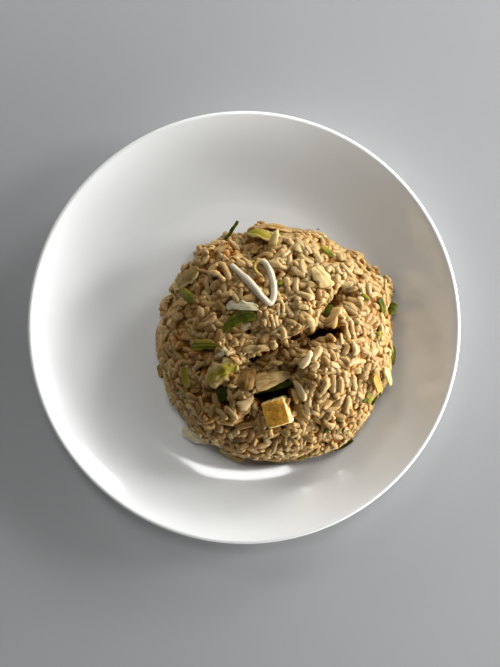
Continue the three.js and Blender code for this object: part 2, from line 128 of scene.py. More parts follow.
class RiceSettings(bpy.types.PropertyGroup):
    grains: count("Grains", "Grains in the outer layers of the heap", 3500)
    broken: number("Broken", "Share of the grains that are broken short", 0.3)
    grain_length: length("Grain length", "Length of a whole cooked grain", 0.0074)
    grain_width: length("Grain width", "Thickness of a whole cooked grain", 0.0031)
    shell: length("Shell", "Thickness of the layer filled with separate grains", 0.0065)
    crumbs: count("Crumbs", "Bits of starch between the grains", 170)
    seed: count("Seed", "Start of the random draws", 7)
    rounds: count("Rounds", "Times that the grains are pushed apart", 60)
    pale: colour("Pale grain", "Colour of the lightest grains", (0.405, 0.285, 0.12))
    brown: colour("Brown grain", "Colour of the grains that took up most sauce", (0.31, 0.172, 0.044))
    # The soaked and sauce colours are partly painted shade: grains turn to them in crevices and deep down.
    soaked_and_shaded: colour("Soaked", "Colour of the grains just under the surface", (0.33, 0.13, 0.010))
    sauce: colour("Sauce", "Colour between the grains", (0.18, 0.048, 0.0005))


class ToppingSettings(bpy.types.PropertyGroup):
    green: colour("Green", "Spring onion leaf", (0.085, 0.10, 0.004))
    pale_green: colour("Pale green", "Spring onion stalk and cabbage", (0.30, 0.235, 0.022))
    cream: colour("Cream", "Cabbage stem and onion", (0.56, 0.41, 0.19))
    white: colour("White", "Palest parts of the leaves", (0.66, 0.60, 0.42))
    sprout: colour("Sprout", "Bean sprout", (0.60, 0.53, 0.39))
    tofu: colour("Tofu", "Fried skin of the tofu", (0.95, 0.51, 0.055))
    egg: colour("Egg", "Fried egg", (0.58, 0.38, 0.08))


class StageSettings(bpy.types.PropertyGroup):
    lens: number("Lens", "Focal length in millimetres on a 36 mm sensor", 54.06)
    camera_height: length("Camera height", "Camera above the table", 0.497)
    camera_side: length("Camera side", "Camera off the plate's axis, towards +X and -Y", 0.00283)
    window_power: number("Window", "Power of the low window light, all panes, in watts", 60.0)
    sky_power: number("Sky", "Power of the light from higher up, all panes, in watts", 16.5)
    floor: colour("Floor", "Colour of the table", (0.38, 0.385, 0.39))


class DishSettings(bpy.types.PropertyGroup):
    plate: bpy.props.PointerProperty(type=PlateSettings, name="Plate", description="The plate")
    rice: bpy.props.PointerProperty(type=RiceSettings, name="Rice", description="The heap of rice")
    toppings: bpy.props.PointerProperty(type=ToppingSettings, name="Toppings", description="All on the rice")
    stage: bpy.props.PointerProperty(type=StageSettings, name="Stage", description="Camera, light and floor")


# ---- The heap's surface ----


def distance_to_line(x, y, line):
    nearest = np.full(x.shape, np.inf)
    for (ax, ay), (bx, by) in zip(line, line[1:]):
        dx, dy = bx - ax, by - ay
        t = np.clip(((x - ax) * dx + (y - ay) * dy) / (dx * dx + dy * dy), 0, 1)
        nearest = np.minimum(nearest, np.hypot(x - ax - t * dx, y - ay - t * dy))
    return nearest


def smoothstep(x, low, high):
    t = np.clip((x - low) / (high - low), 0, 1)
    return t * t * (3 - 2 * t)


def relief(x, y):
    rise = 0.9 * np.sin(0.21 * x + 0.6) * np.cos(0.19 * y - 0.4)
    for (cx, cy), width, height in LUMPS:
        rise += height * np.exp(-(((x - cx) / width) ** 2) - ((y - cy) / width) ** 2)
    for line, width, depth in DENTS:
        rise -= depth * (1 - smoothstep(distance_to_line(x, y, line), 0, width))
    return rise


def heap_reach(direction, cover=0.0):
    """Distance from the heap's middle to its surface in unit directions, with a cover over the core."""
    across = np.hypot(direction[:, 0], direction[:, 1]) / HEAP_RADIUS
    up = np.abs(direction[:, 2]) / HEAP_HEIGHT
    reach = (across**HEAP_ROUNDNESS + up**HEAP_ROUNDNESS) ** (-1 / HEAP_ROUNDNESS)
    return reach + relief(direction[:, 0] * reach, direction[:, 1] * reach) + cover


def unit(vectors):
    return vectors / np.maximum(np.linalg.norm(vectors, axis=-1, keepdims=True), 1e-9)


def heap_normal(direction, spread=0.05):
    """Outward normals of the heap, smoothed over about a grain's width."""
    side = np.stack([-direction[:, 1], direction[:, 0], np.zeros(len(direction))], axis=1)
    side[np.linalg.norm(side, axis=1) < 1e-6] = (1, 0, 0)
    side = unit(side)
    rise = np.cross(direction, side)

    def surface(axis, step):
        turned = unit(direction + axis * step)
        return turned * heap_reach(turned)[:, None]

    along_side = surface(side, spread) - surface(side, -spread)
    along_rise = surface(rise, spread) - surface(rise, -spread)
    normal = unit(np.cross(along_side, along_rise))
    return normal * np.sign(np.sum(normal * direction, axis=1))[:, None]


def on_sphere(places):
    """Unit directions of azimuths and elevations in degrees."""
    turn, rise = np.radians(np.asarray(places, dtype=float)).T
    return np.column_stack([np.cos(rise) * np.cos(turn), np.cos(rise) * np.sin(turn), np.sin(rise)])


def along_surface(headings, normal):
    """Unit vectors along a surface, from their headings in degrees as seen from above."""
    turn = np.radians(headings)
    axis = np.column_stack([np.cos(turn), np.sin(turn), np.zeros(len(turn))])
    axis[:, 2] = -np.sum(axis * normal, axis=1) / np.maximum(normal[:, 2], 0.3)
    return unit(axis)


def plate_under(points):
    """Height of the plate's top under each point."""
    s = np.clip((np.hypot(points[:, 0], points[:, 1]) - WELL_RADIUS) / (PLATE_RADIUS - WELL_RADIUS), 0, 1)
    return WELL_FLOOR + (PLATE_HEIGHT - WELL_FLOOR) * s**2


# ---- Mesh helpers ----

MERGED_WITHIN = 0.02 * MM  # corners of a solid's triangles that are one point


def dress(piece, slot, *nodes):
    """Ties a finished piece to the body, to its material slot and to the nodes that it stands for."""
    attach(piece, "root")
    if nodes:
        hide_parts(*nodes)


def in_scene(name, data):
    """Makes an object of a mesh, a light or a camera."""
    made = bpy.data.objects.new(name, data)
    bpy.context.scene.collection.objects.link(made)
    return made


def object_from(name, bm, material, smooth=True):
    """Makes an object of a bmesh that is in metres."""
    mesh = bpy.data.meshes.new(name)
    for face in bm.faces:
        face.smooth = smooth
    bm.to_mesh(mesh)
    bm.free()
    mesh.materials.append(material)
    return in_scene(name, mesh)


def add_attribute(mesh, name, values):
    layer = mesh.attributes.new(name, "FLOAT", "POINT")
    layer.data.foreach_set("value", np.asarray(values, dtype=np.float32))


def points_of(bm):
    return np.array([vert.co for vert in bm.verts])


def faces_of(bm):
    return [[vert.index for vert in face.verts] for face in bm.faces]


def move_to(bm, points):
    """Moves a bmesh's vertices to points in millimetres."""
    for vert, point in zip(bm.verts, points):
        vert.co = Vector(point) * MM


def merged_copy(node):
    """A bmesh of a CAD node with its corners merged, in metres."""
    bm = bmesh.new()
    bm.from_mesh(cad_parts[node].data)
    bmesh.ops.remove_doubles(bm, verts=bm.verts, dist=MERGED_WITHIN)
    return bm


def finer_copy(node, cuts, rounding=0.35, passes=2):
    """A finer and softer copy of a CAD node, with its vertices in millimetres and their normals."""
    bm = merged_copy(node)
    bmesh.ops.subdivide_edges(bm, edges=bm.edges, cuts=cuts, use_grid_fill=True)
    bmesh.ops.triangulate(bm, faces=bm.faces)
    for _ in range(passes):
        bmesh.ops.smooth_vert(
            bm, verts=bm.verts, factor=rounding, use_axis_x=True, use_axis_y=True, use_axis_z=True
        )
    bm.normal_update()
    return bm, points_of(bm) / MM, np.array([vert.normal for vert in bm.verts])


def ripple(points, pitch, seed):
    """Smooth uneven values from about -1 to 1, with the given pitch in millimetres."""
    rng = np.random.default_rng(seed)
    total = np.zeros(len(points))
    for _ in range(6):
        heading = unit(rng.normal(size=3))
        total += np.sin(points @ heading * 2 * np.pi / (pitch * rng.uniform(0.8, 1.6)) + rng.uniform(0, 6.3))
    return total / 3


# ---- Shader helpers ----


def feed(tree, node, inputs):
    """Gives each of the inputs named a value, or the socket that feeds it."""
    for name, value in inputs.items():
        if isinstance(value, bpy.types.NodeSocket):
            tree.links.new(value, node.inputs[name])
        else:
            node.inputs[name].default_value = value


def place(tree, kind, inputs=None, **traits):
    """Adds a node with its traits and inputs."""
    made = tree.nodes.new(kind)
    for trait, value in traits.items():
        setattr(made, trait, value)
    feed(tree, made, inputs or {})
    return made


def scaled(colour, share):
    return tuple(share * c for c in colour)


def mixed(tree, factor, first, second, blend="MIX"):
    """Colour socket that blends two colours, each a socket or a value."""
    first, second = (c if isinstance(c, bpy.types.NodeSocket) else (*c, 1) for c in (first, second))
    inputs = {0: factor, 6: first, 7: second}
    return place(tree, "ShaderNodeMix", inputs, data_type="RGBA", blend_type=blend).outputs[2]


def math_node(tree, operation, first, second=0.0, third=0.0, clamp=False):
    return place(
        tree, "ShaderNodeMath", {0: first, 1: second, 2: third}, operation=operation, use_clamp=clamp
    ).outputs[0]


def remapped(tree, value, low, high, to_low=0.0, to_high=1.0):
    inputs = {"Value": value, "From Min": low, "From Max": high, "To Min": to_low, "To Max": to_high}
    return place(tree, "ShaderNodeMapRange", inputs).outputs["Result"]


def attribute(tree, name):
    return place(tree, "ShaderNodeAttribute", attribute_name=name).outputs["Fac"]


def noise(tree, scale, detail, roughness=0.5, spot=None):
    """Uneven values from 0 to 1 over a piece, or over the given vector."""
    spot = spot or place(tree, "ShaderNodeTexCoord").outputs["Object"]
    inputs = {"Vector": spot, "Scale": scale, "Detail": detail, "Roughness": roughness}
    return place(tree, "ShaderNodeTexNoise", inputs).outputs["Fac"]


def new_group(name, inputs, outputs):
    """An empty shader group: its tree, the sockets of its inputs and its output node."""
    tree = bpy.data.node_groups.new(name, "ShaderNodeTree")
    for title, default in inputs.items():
        kind = "NodeSocketColor" if isinstance(default, tuple) else "NodeSocketFloat"
        tree.interface.new_socket(title, in_out="INPUT", socket_type=kind).default_value = default
    for title in outputs:
        kind = "NodeSocketColor" if title == "Color" else "NodeSocketFloat"
        tree.interface.new_socket(title, in_out="OUTPUT", socket_type=kind)
    return tree, tree.nodes.new("NodeGroupInput").outputs, tree.nodes.new("NodeGroupOutput")


def group_of(maker):
    """The group that a maker function builds, built once."""
    name = maker.__doc__.splitlines()[0].rstrip(".")
    return bpy.data.node_groups.get(name) or maker(name)


def mottle_group(name):
    """Cooked mottle."""
    inputs = {"Scale": 300.0, "Contrast": 0.2, "Light": (1, 1, 1, 1), "Dark": (0, 0, 0, 1), "Bias": 0.0}
    tree, given, out = new_group(name, inputs, ("Color",))
    low = math_node(tree, "SUBTRACT", 0.5, given["Contrast"])
    high = math_node(tree, "ADD", 0.5, given["Contrast"])
    biased = math_node(tree, "ADD", noise(tree, given["Scale"], detail=3.0, roughness=0.6), given["Bias"])
    mask = remapped(tree, biased, low, high)
    feed(tree, out, {"Color": mixed(tree, mask, given["Light"], given["Dark"])})
    return tree


def moist_group(name):
    """Moist film."""
    tree, given, out = new_group(name, {"Scale": 200.0, "Wet": 0.2, "Dry": 0.5}, ("Roughness", "Height"))
    mask = remapped(tree, noise(tree, given["Scale"], detail=2.0), 0.38, 0.62)
    rough = remapped(tree, mask, 0.0, 1.0, given["Wet"], given["Dry"])
    fine = noise(tree, math_node(tree, "MULTIPLY", given["Scale"], 5.0), detail=2.0)
    feed(tree, out, {"Roughness": rough, "Height": math_node(tree, "MULTIPLY_ADD", mask, 0.35, fine)})
    return tree


def fibre_group(name):
    """Leaf fibres."""
    tree, given, out = new_group(name, {"Fibres": 6.0, "Length": 1.2}, ("Mask", "Height"))
    along = math_node(tree, "MULTIPLY", attribute(tree, "along"), given["Length"])
    across = math_node(tree, "MULTIPLY", attribute(tree, "across"), given["Fibres"])
    spot = place(
        tree, "ShaderNodeCombineXYZ", {"X": along, "Y": across, "Z": attribute(tree, "shade")}
    ).outputs["Vector"]
    fibres = noise(tree, scale=1.0, detail=3.0, spot=spot)
    feed(tree, out, {"Mask": remapped(tree, fibres, 0.35, 0.65), "Height": fibres})
    return tree


def new_material(name):
    """A material with its tree and its main shader."""
    material = bpy.data.materials.new(name)
    material.use_nodes = True
    return material, material.node_tree, material.node_tree.nodes["Principled BSDF"]


def grouped(tree, maker, values):
    """A group's node, with its sockets set or fed."""
    return place(tree, "ShaderNodeGroup", values, node_tree=group_of(maker))


def mottled(tree, scale, contrast, light, dark, bias=0.0):
    """Colour socket that goes unevenly from a light colour to a dark one."""
    return grouped(tree, mottle_group, {
        "Scale": scale, "Contrast": contrast, "Light": (*light, 1), "Dark": (*dark, 1), "Bias": bias,
    }).outputs["Color"]


def set_bump(tree, shader, height, distance, strength):
    bump = place(tree, "ShaderNodeBump", {"Height": height, "Distance": distance, "Strength": strength})
    feed(tree, shader, {"Normal": bump.outputs["Normal"]})


def set_moist(tree, shader, scale, wet, dry, distance, strength, height=None):
    """Wet and dry patches, and bumps of their own or of the given height."""
    moist = grouped(tree, moist_group, {"Scale": scale, "Wet": wet, "Dry": dry})
    feed(tree, shader, {"Roughness": moist.outputs["Roughness"]})
    set_bump(tree, shader, height or moist.outputs["Height"], distance, strength)


def set_flesh(tree, shader, weight, reach, tint=(1.0, 0.55, 0.28)):
    """Light that goes a little way into food."""
    feed(tree, shader, {"Subsurface Weight": weight, "Subsurface Radius": tint, "Subsurface Scale": reach})


# ---- Plate ----


def wall_face(s, side):
    """Point on the wall, at share s of the way from the floor's edge to the lip. Side 1 is its top."""
    half_lip = LIP_WALL / 2
    start = WELL_FLOOR - WELL_WALL / 2
    run = PLATE_RADIUS - half_lip - WELL_RADIUS
    rise = PLATE_HEIGHT - half_lip - start
    angle = math.atan(2 * s * rise / run)
    half = (WELL_WALL + (LIP_WALL - WELL_WALL) * s) / 2
    radius = WELL_RADIUS + run * s - side * half * math.sin(angle)
    return radius, start + rise * s * s + side * half * math.cos(angle)


def plate_profile(wall_steps=26, lip_steps=10, foot_steps=6):
    """Underside, foot ring, outer wall, round lip, inner wall and floor, from the axis and back."""
    points = [(0.0, FOOT_DEPTH), (FOOT_RADIUS - FOOT_WIDTH - FOOT_FILLET, FOOT_DEPTH)]
    foot_middle = FOOT_RADIUS - FOOT_WIDTH / 2
    for i in range(foot_steps + 1):
        turn = math.pi * (1 + i / foot_steps)
        flat = max(-1.0, FOOT_FLATNESS * math.sin(turn))
        points.append((foot_middle + FOOT_WIDTH / 2 * math.cos(turn), FOOT_CURVE + FOOT_CURVE * flat))
    points += [wall_face(i / wall_steps, -1) for i in range(1, wall_steps + 1)]
    half_lip = LIP_WALL / 2
    lip_radius, lip_height = PLATE_RADIUS - half_lip, PLATE_HEIGHT - half_lip
    run = PLATE_RADIUS - half_lip - WELL_RADIUS
    angle = math.atan(2 * (lip_height - WELL_FLOOR + WELL_WALL / 2) / run)
    for i in range(1, lip_steps):
        turn = angle - math.pi / 2 + math.pi * i / lip_steps
        points.append((lip_radius + half_lip * math.cos(turn), lip_height + half_lip * math.sin(turn)))
    points += [wall_face(i / wall_steps, 1) for i in range(wall_steps, -1, -1)]
    points += [(radius, WELL_FLOOR) for radius in (56.0, 44.0, 26.0, 0.0)]
    return points


def porcelain(settings):
    material, tree, shader = new_material("glazed_porcelain")
    haze = noise(tree, scale=60.0, detail=4.0)
    darker = scaled(settings.glaze, 0.965)
    feed(tree, shader, {
        "Base Color": mottled(tree, scale=14.0, contrast=0.3, light=settings.glaze, dark=darker),
        "Roughness": remapped(tree, haze, 0.3, 0.75, settings.roughness, 2 * settings.roughness),
        "Coat Weight": 0.35, "Coat Roughness": 0.04,
    })
    set_bump(tree, shader, noise(tree, scale=30.0, detail=1.0), distance=0.0006, strength=0.25)
    return material


# Specks of sauce on the plate: place, length and width.
SPECKS = ((36.3, 48.3, 1.3, 0.8), (-57.1, -77.3, 1.1, 0.9), (-55.2, 66.6, 0.9, 0.6), (60.5, -62.0, 0.7, 0.6))
SPECK_THICKNESS = 0.3
SPECK_RAISED = 0.08  # its middle over the glaze
SPECK_LIGHT = (0.30, 0.20, 0.10)
SPECK_DARK = (0.16, 0.08, 0.03)


class FRIEDRICE_OT_specks(bpy.types.Operator):
    """Makes the specks of sauce on the plate"""

    bl_idname = "fried_rice.make_specks"
    bl_label = "Make specks"

    def execute(self, context):
        bm = bmesh.new()
        for (x, y, long, wide), top in zip(SPECKS, plate_under(np.array(SPECKS))):
            speck = bmesh.ops.create_icosphere(bm, subdivisions=2, radius=0.5 * MM)["verts"]
            bmesh.ops.scale(bm, verts=speck, vec=(long, wide, SPECK_THICKNESS))
            bmesh.ops.translate(bm, verts=speck, vec=Vector((x, y, top + SPECK_RAISED)) * MM)
        material, tree, shader = new_material("dried_sauce")
        skin = mottled(tree, scale=900.0, contrast=0.2, light=SPECK_LIGHT, dark=SPECK_DARK)
        feed(tree, shader, {"Base Color": skin, "Roughness": 0.4})
        dress(object_from("sauce_specks", bm, material), "fried_rice")
        return {"FINISHED"}


class FRIEDRICE_OT_plate(bpy.types.Operator):
    """Makes the round coupe plate"""

    bl_idname = "fried_rice.make_plate"
    bl_label = "Make plate"

    def execute(self, context):
        settings = context.scene.dish.plate
        bm = bmesh.new()
        verts = [bm.verts.new((r * MM, 0, z * MM)) for r, z in plate_profile()]
        edges = [bm.edges.new(pair) for pair in zip(verts, verts[1:])]
        bmesh.ops.spin(
            bm, geom=verts + edges, cent=(0, 0, 0), axis=(0, 0, 1), dvec=(0, 0, 0),
            angle=2 * math.pi, steps=settings.steps, use_merge=True, use_duplicate=False,
        )
        bmesh.ops.remove_doubles(bm, verts=bm.verts, dist=0.01 * MM)
        bmesh.ops.recalc_face_normals(bm, faces=bm.faces)
        plate = object_from("plate_glazed", bm, porcelain(settings))
        dress(plate, "glazed_porcelain", "plate")
        return {"FINISHED"}


# ---- Rice ----

BROKEN_BELOW = 0.78  # a grain shorter than this share of a whole one is a broken one
STREWN_DEPTH = (0.1, 0.95)  # share of the shell in which the grains are strewn
STEEPEST = 0.3  # sine of the steepest angle at which a grain stands where the rice is pressed
STEEPER = 0.5  # and how much more it may be where the rice is loose
PROUD_SPREAD = 0.24  # how unevenly the grains stand out
PRESSED_PROUD = 0.3  # grains lie this much closer to the wall of the bowl where it pressed them
BEADS = 4  # a grain is pushed about as a row of this many beads
CLOSENESS = 0.64  # soft grains press into each other by the rest
PAIRS_LAST = 5  # rounds for which the pairs that may touch are kept
DRIFT = 0.9  # and how far apart they may be when they are found
POINT_PITCH = 1.8  # between the points that stand for a topping
TOPPING_SKIN = 0.1
CLEARED = (1.6, 3.2)  # heights over a topping that are kept free of grains
OVERLAP = 0.5  # but its edges may be lapped over by this much
SHOWN_RISE = 0.8  # the grains of the list below stand this far out of the surface
STICKING = 0.54  # a grain is this much wider once it sticks to its neighbours
SKIN_SHARE = 0.93  # a neighbour's skin is taken to lie at this share of its radius
NEIGHBOUR_REACH = 0.8
FAR_OFF = 2.0  # gap of a vertex that has no neighbour
SWELL_REACH = 0.5  # gap over which the sticking fades
CREVICE_REACH = 0.45
FLATTENED_WITHIN = 0.25  # of the bowl's wall
SAUCE_AND_SHADE_FROM = 0.6  # depth under the surface where grains start to darken, with brown sauce and painted shade
SAUCE_AND_SHADE_SPAN = 4.5
OUTCROP = ((46, 13), (36, 10), (29, 10), (26, 3))  # azimuths and elevations on the heap
OUTCROP_RISE = 4.0
OUTCROP_WIDTH = 5.0
CLUMPS = 190
CLUMP_SEED = 5
CLUMP_SCATTER = 0.045  # how far the clumps are from an even spread
CLUMP_LIFT = 1.2
CLUMP_ROUNDING = 0.06
PRESSED_SIDE = np.array([0.7, 0.7, 0.0])
LOOSE_SIDE = np.array([-0.6, 0.78, 0.18])
ROUGHER = 0.6  # clumps stand out by this much more on the loose side

# Painted shade and light on the sides of the heap: grains browner away from the windows and paler
# towards them. Azimuth, elevation, width in degrees, and amount.
SHADED_SIDES = (
    (172, 48, 20, 0.55), (195, 28, 22, 0.18), (225, 30, 22, 0.35), (130, 38, 14, 0.35), (275, 62, 16, 0.35),
    (80, 58, 17, -0.5), (75, 35, 14, -0.35), (255, 50, 12, 0.1),
)

# Cracks with steep walls: points from the heap's axis, half width and depth.
CRACKS = (
    (((27, 19), (24.5, 15.5), (22, 12.5)), 1.1, 5.0),
    (((30, 5.5), (26.5, 6.5), (23, 7), (20, 5.5), (16.5, 3.5)), 1.7, 6.0),
    (((14.5, -0.5), (12, -1.5)), 0.9, 3.5),
    (((10, 4.5), (6.5, 2), (3, 0.5), (1.5, 2), (-1, -1.5), (-3.5, -3), (-7, -4.5)), 1.1, 4.5),
    (((-9.5, -6), (-12.5, -7.5)), 1.2, 4.0),
    (((9.5, -10), (7.5, -13), (5.5, -16)), 0.6, 3.5),
    (((-8, -24), (-3.5, -22.3), (1.5, -21.2), (6.5, -19.5)), 2.5, 10.0),
    (((7, -18.5), (7, -23.5), (7.5, -29.5)), 0.9, 5.0),
)
# The core also lies deeper here, behind the tofu.
CORE_POCKETS = ((((-8, -28), (-3, -26.5), (2, -25.5), (7, -24)), 3.2, 9.0),)
CRACK_RAGGED = 0.45  # share by which a crack's width changes along it
CRACK_PITCH = 5.0
GAP_DEPTH = 2.5

# Gaps where a grain has dropped out: place from the heap's axis, and radius.
GAPS = (
    (-26, 33, 1.9), (-31.5, 35.5, 1.4), (-33.5, 25.5, 2.0), (-22, 42.5, 1.5), (-10, 44, 1.5), (8.5, 42, 1.4),
    (12, 25.5, 1.4), (29, 25.5, 1.6), (36, 24, 1.1), (-26.5, 14, 1.1), (-43, 0.5, 1.3), (-37, -12, 1.4),
    (-33, -12, 1.2), (-24.5, -28.5, 1.8), (-32.5, -26.5, 1.1), (-18, -28, 1.2), (-15, -34.5, 1.3),
    (-7.5, -30, 1.1), (7.5, -35.5, 1.2), (24, -21.5, 1.0), (28, -37, 1.1), (0, 33.5, 1.1),
    (-13, 6.5, 1.0), (34, -2.5, 1.1),
)

# Grains that catch the eye: place from the heap's axis, heading, length, width, and colour, where 1 is
# brown, 0 pale and -1 nearly white.
SHOWN_GRAINS = (
    # beside the cracks
    (31.8, 6.4, -75, 8.5, 3.2, 0.1), (29.1, 2.7, -88, 5.5, 3.0, 0.3), (31.4, -2.2, 62, 5.5, 3.0, 0.3),
    (35.2, -1.3, -85, 7.5, 3.0, -0.2), (26.4, 13.5, 50, 11.0, 4.4, 0.35), (21.6, 11.2, -40, 5.0, 3.6, 0.05),
    (19.8, 9.0, -40, 5.0, 3.6, 0.1), (15.5, 9.2, -70, 10.0, 4.2, 0.35), (2.9, 5.4, -88, 6.5, 3.2, 0.15),
    (10.9, 1.9, 45, 7.6, 4.6, 0.6), (13.1, -6.7, 58, 9.6, 3.5, -0.5), (17.7, -4.1, 60, 8.5, 3.9, 0.25),
    (34.7, 7.7, -80, 8.0, 3.4, 0.3), (5.5, 15.0, -60, 7.0, 4.4, 0.35), (-1.7, -0.1, -80, 5.0, 3.8, 0.2),
    (3.7, 0.5, -50, 6.5, 3.6, 0.65), (-12.2, -1.7, 4, 7.5, 4.0, 0.25), (-6.7, -1.6, -5, 6.5, 3.8, 0.3),
    (-13.9, -7.7, -48, 7.6, 2.9, 0.1), (-6.7, -8.4, -10, 6.4, 3.3, 0.6), (-0.2, -8.4, -15, 6.2, 3.4, 0.15),
    (-1.7, -11.9, 80, 5.2, 4.8, -0.1), (4.2, -10.9, -35, 6.2, 3.4, 0.2), (4.3, -4.2, -45, 5.6, 3.6, 0.5),
    (7.7, -15.9, 60, 4.4, 3.6, 0.1), (10.7, -21.0, -58, 10.5, 4.3, -0.4), (8.3, -24.0, -72, 7.5, 3.4, 0.1),
    (21.8, -17.9, 80, 5.2, 3.6, 0.1), (16.6, -9.6, 30, 5.5, 3.6, 0.3),
    # left
    (-14.6, 8.5, 30, 7.8, 4.4, -0.5), (-24.9, -3.3, 45, 5.8, 4.0, -0.5), (-32.6, 4.6, 50, 5.4, 3.2, 0.2),
    (-34.4, 14.6, -85, 5.6, 3.4, 0.1), (-30.4, 10.6, 35, 7.4, 3.2, 0.3), (-37.1, 10.4, 85, 5.0, 4.0, 0.7),
    (-36.1, -9.6, 60, 5.0, 3.4, 0.2), (-14.3, -27.3, 30, 8.4, 5.0, -0.15),
    (-29.1, -22.1, -88, 8.2, 3.0, 0.45), (-21.0, -31.3, -42, 9.0, 3.6, 0.4),
    (-31.2, -17.1, 12, 5.4, 3.0, 0.3), (-26.2, -39.2, 70, 5.0, 4.0, 0.2), (-38.5, -30.9, -60, 6.2, 3.4, 0.3),
    # low on the right
    (14.4, -29.3, -88, 9.8, 4.0, -0.1), (25.3, -17.8, -88, 9.8, 4.0, 0.4), (28.9, -18.3, -80, 9.0, 3.6, 0.4),
    (35.7, -18.1, -85, 9.0, 3.9, 0.2), (32.8, -27.5, 75, 8.2, 3.6, 0.3), (25.3, -29.5, 5, 8.4, 3.2, 0.35),
    (17.4, -31.2, -30, 5.4, 3.3, 0.2), (38.9, -24.1, -50, 6.4, 3.4, 0.2), (14.9, -38.5, 10, 7.6, 5.0, 0.4),
    (24.4, -37.6, -25, 6.0, 3.6, 0.0), (38.7, -18.0, 80, 5.0, 3.4, 0.1), (21.6, -23.6, 35, 5.6, 3.2, 0.25),
    # towards the back
    (9.6, 45.2, 85, 5.6, 4.2, 0.0), (-10.2, 44.6, 60, 4.8, 4.0, 0.15), (-3.8, 41.8, -20, 5.4, 4.4, 0.6),
    (4.6, 28.7, -70, 5.4, 3.2, 0.15), (10.1, 32.6, -15, 5.8, 3.2, 0.05), (-0.9, 36.7, -10, 7.0, 3.6, 0.25),
    (12.0, 27.2, 0, 5.4, 3.8, 0.6), (14.4, 38.9, -20, 6.6, 3.2, 0.2), (18.0, 42.1, -55, 7.6, 3.2, 0.15),
    (-13.6, 38.2, -45, 8.4, 3.8, 0.3), (32.8, 28.0, -10, 6.0, 3.8, 0.15), (32.5, 35.1, -45, 8.4, 3.4, 0.2),
    (24.0, 34.7, 80, 4.4, 3.2, 0.1), (28.4, 34.2, -60, 5.0, 3.2, 0.2), (31.2, 31.9, 85, 4.4, 3.0, 0.1),
    (28.1, 30.5, 70, 4.8, 3.4, 0.2),
    # the clumps at the back left
    (-33.5, 39.5, 60, 6.0, 4.4, 0.25), (-23.2, 33.5, -60, 9.4, 3.8, 0.35), (-29.2, 32.6, -15, 6.5, 3.6, 0.25),
    (-25.4, 30.4, -50, 5.5, 3.4, 0.25), (-24.3, 26.9, -85, 6.0, 3.4, 0.25), (-32.2, 27.5, -85, 5.0, 3.2, 0.2),
    (-28.9, 27.0, 60, 5.5, 3.8, 0.4), (-32.6, 24.4, 20, 5.5, 3.6, 0.3), (-22.9, 22.6, 15, 6.2, 3.4, 0.3),
    (-18.7, 29.0, -50, 7.2, 3.6, 0.5), (-19.4, 22.0, -60, 9.4, 3.2, 0.25), (-29.7, 35.2, 40, 6.4, 3.2, 0.5),
)


def on_loose_side(direction):
    return smoothstep(direction @ LOOSE_SIDE, 0.72, 0.95)


def looseness(direction):
    """0 where the bowl pressed the rice smooth, low on the sides, and 1 where it lies loose."""
    pressed_side = np.maximum(direction @ PRESSED_SIDE, 0)
    loose_top = smoothstep(direction[:, 2] - 0.25 * pressed_side, 0.25, 0.7)
    return np.maximum(loose_top, on_loose_side(direction))


def directions(turn, height):
    """Unit vectors, from their turns and their heights."""
    level = np.sqrt(1 - height**2)
    return np.stack([level * np.cos(turn), level * np.sin(turn), height], axis=1)


def spiral(order, total):
    """Evenly spread directions over the upper half, by their order from the level up."""
    return directions(order * math.pi * (3 - math.sqrt(5)), (order + 0.5) / total)


def clump_rise(direction):
    """Rounded clumps of a few grains with valleys between them, in millimetres."""
    rng = np.random.default_rng(CLUMP_SEED)
    middles = spiral(np.arange(CLUMPS), CLUMPS)
    middles = unit(middles + rng.normal(0, CLUMP_SCATTER, middles.shape))
    lift = np.clip(rng.normal(0, CLUMP_LIFT, CLUMPS), -1.6, 1.8)
    nearness = direction @ middles.T
    nearest = np.argmax(nearness, axis=1)
    away = HEAP_RADIUS * np.arccos(np.clip(nearness[np.arange(len(direction)), nearest], -1, 1))
    return lift[nearest] + 0.9 - CLUMP_ROUNDING * away**2


def outcrop(direction):
    """Rise of the grains that stick out at the foot of the heap."""
    rise = np.zeros(len(direction))
    for middle in on_sphere(OUTCROP):
        away = HEAP_RADIUS * np.arccos(np.clip(direction @ middle, -1, 1))
        rise = np.maximum(rise, OUTCROP_RISE * np.exp(-((away / OUTCROP_WIDTH) ** 2)))
    return rise


def moulded_reach(direction):
    """Distance from the heap's middle to its grains' outermost faces, uneven where the rice is loose."""
    uneven = clump_rise(direction) + 0.5 * ripple(direction * HEAP_RADIUS, 13.0, 21)
    rougher = ROUGHER * on_loose_side(direction)
    uneven = uneven * (0.22 + 0.78 * looseness(direction) + rougher) + outcrop(direction)
    return heap_reach(direction, GRAIN_COVER) + uneven


def lifted(direction):
    """Directions with none below the level."""
    return unit(direction * (1, 1, 0) + np.maximum(direction * (0, 0, 1), 0))


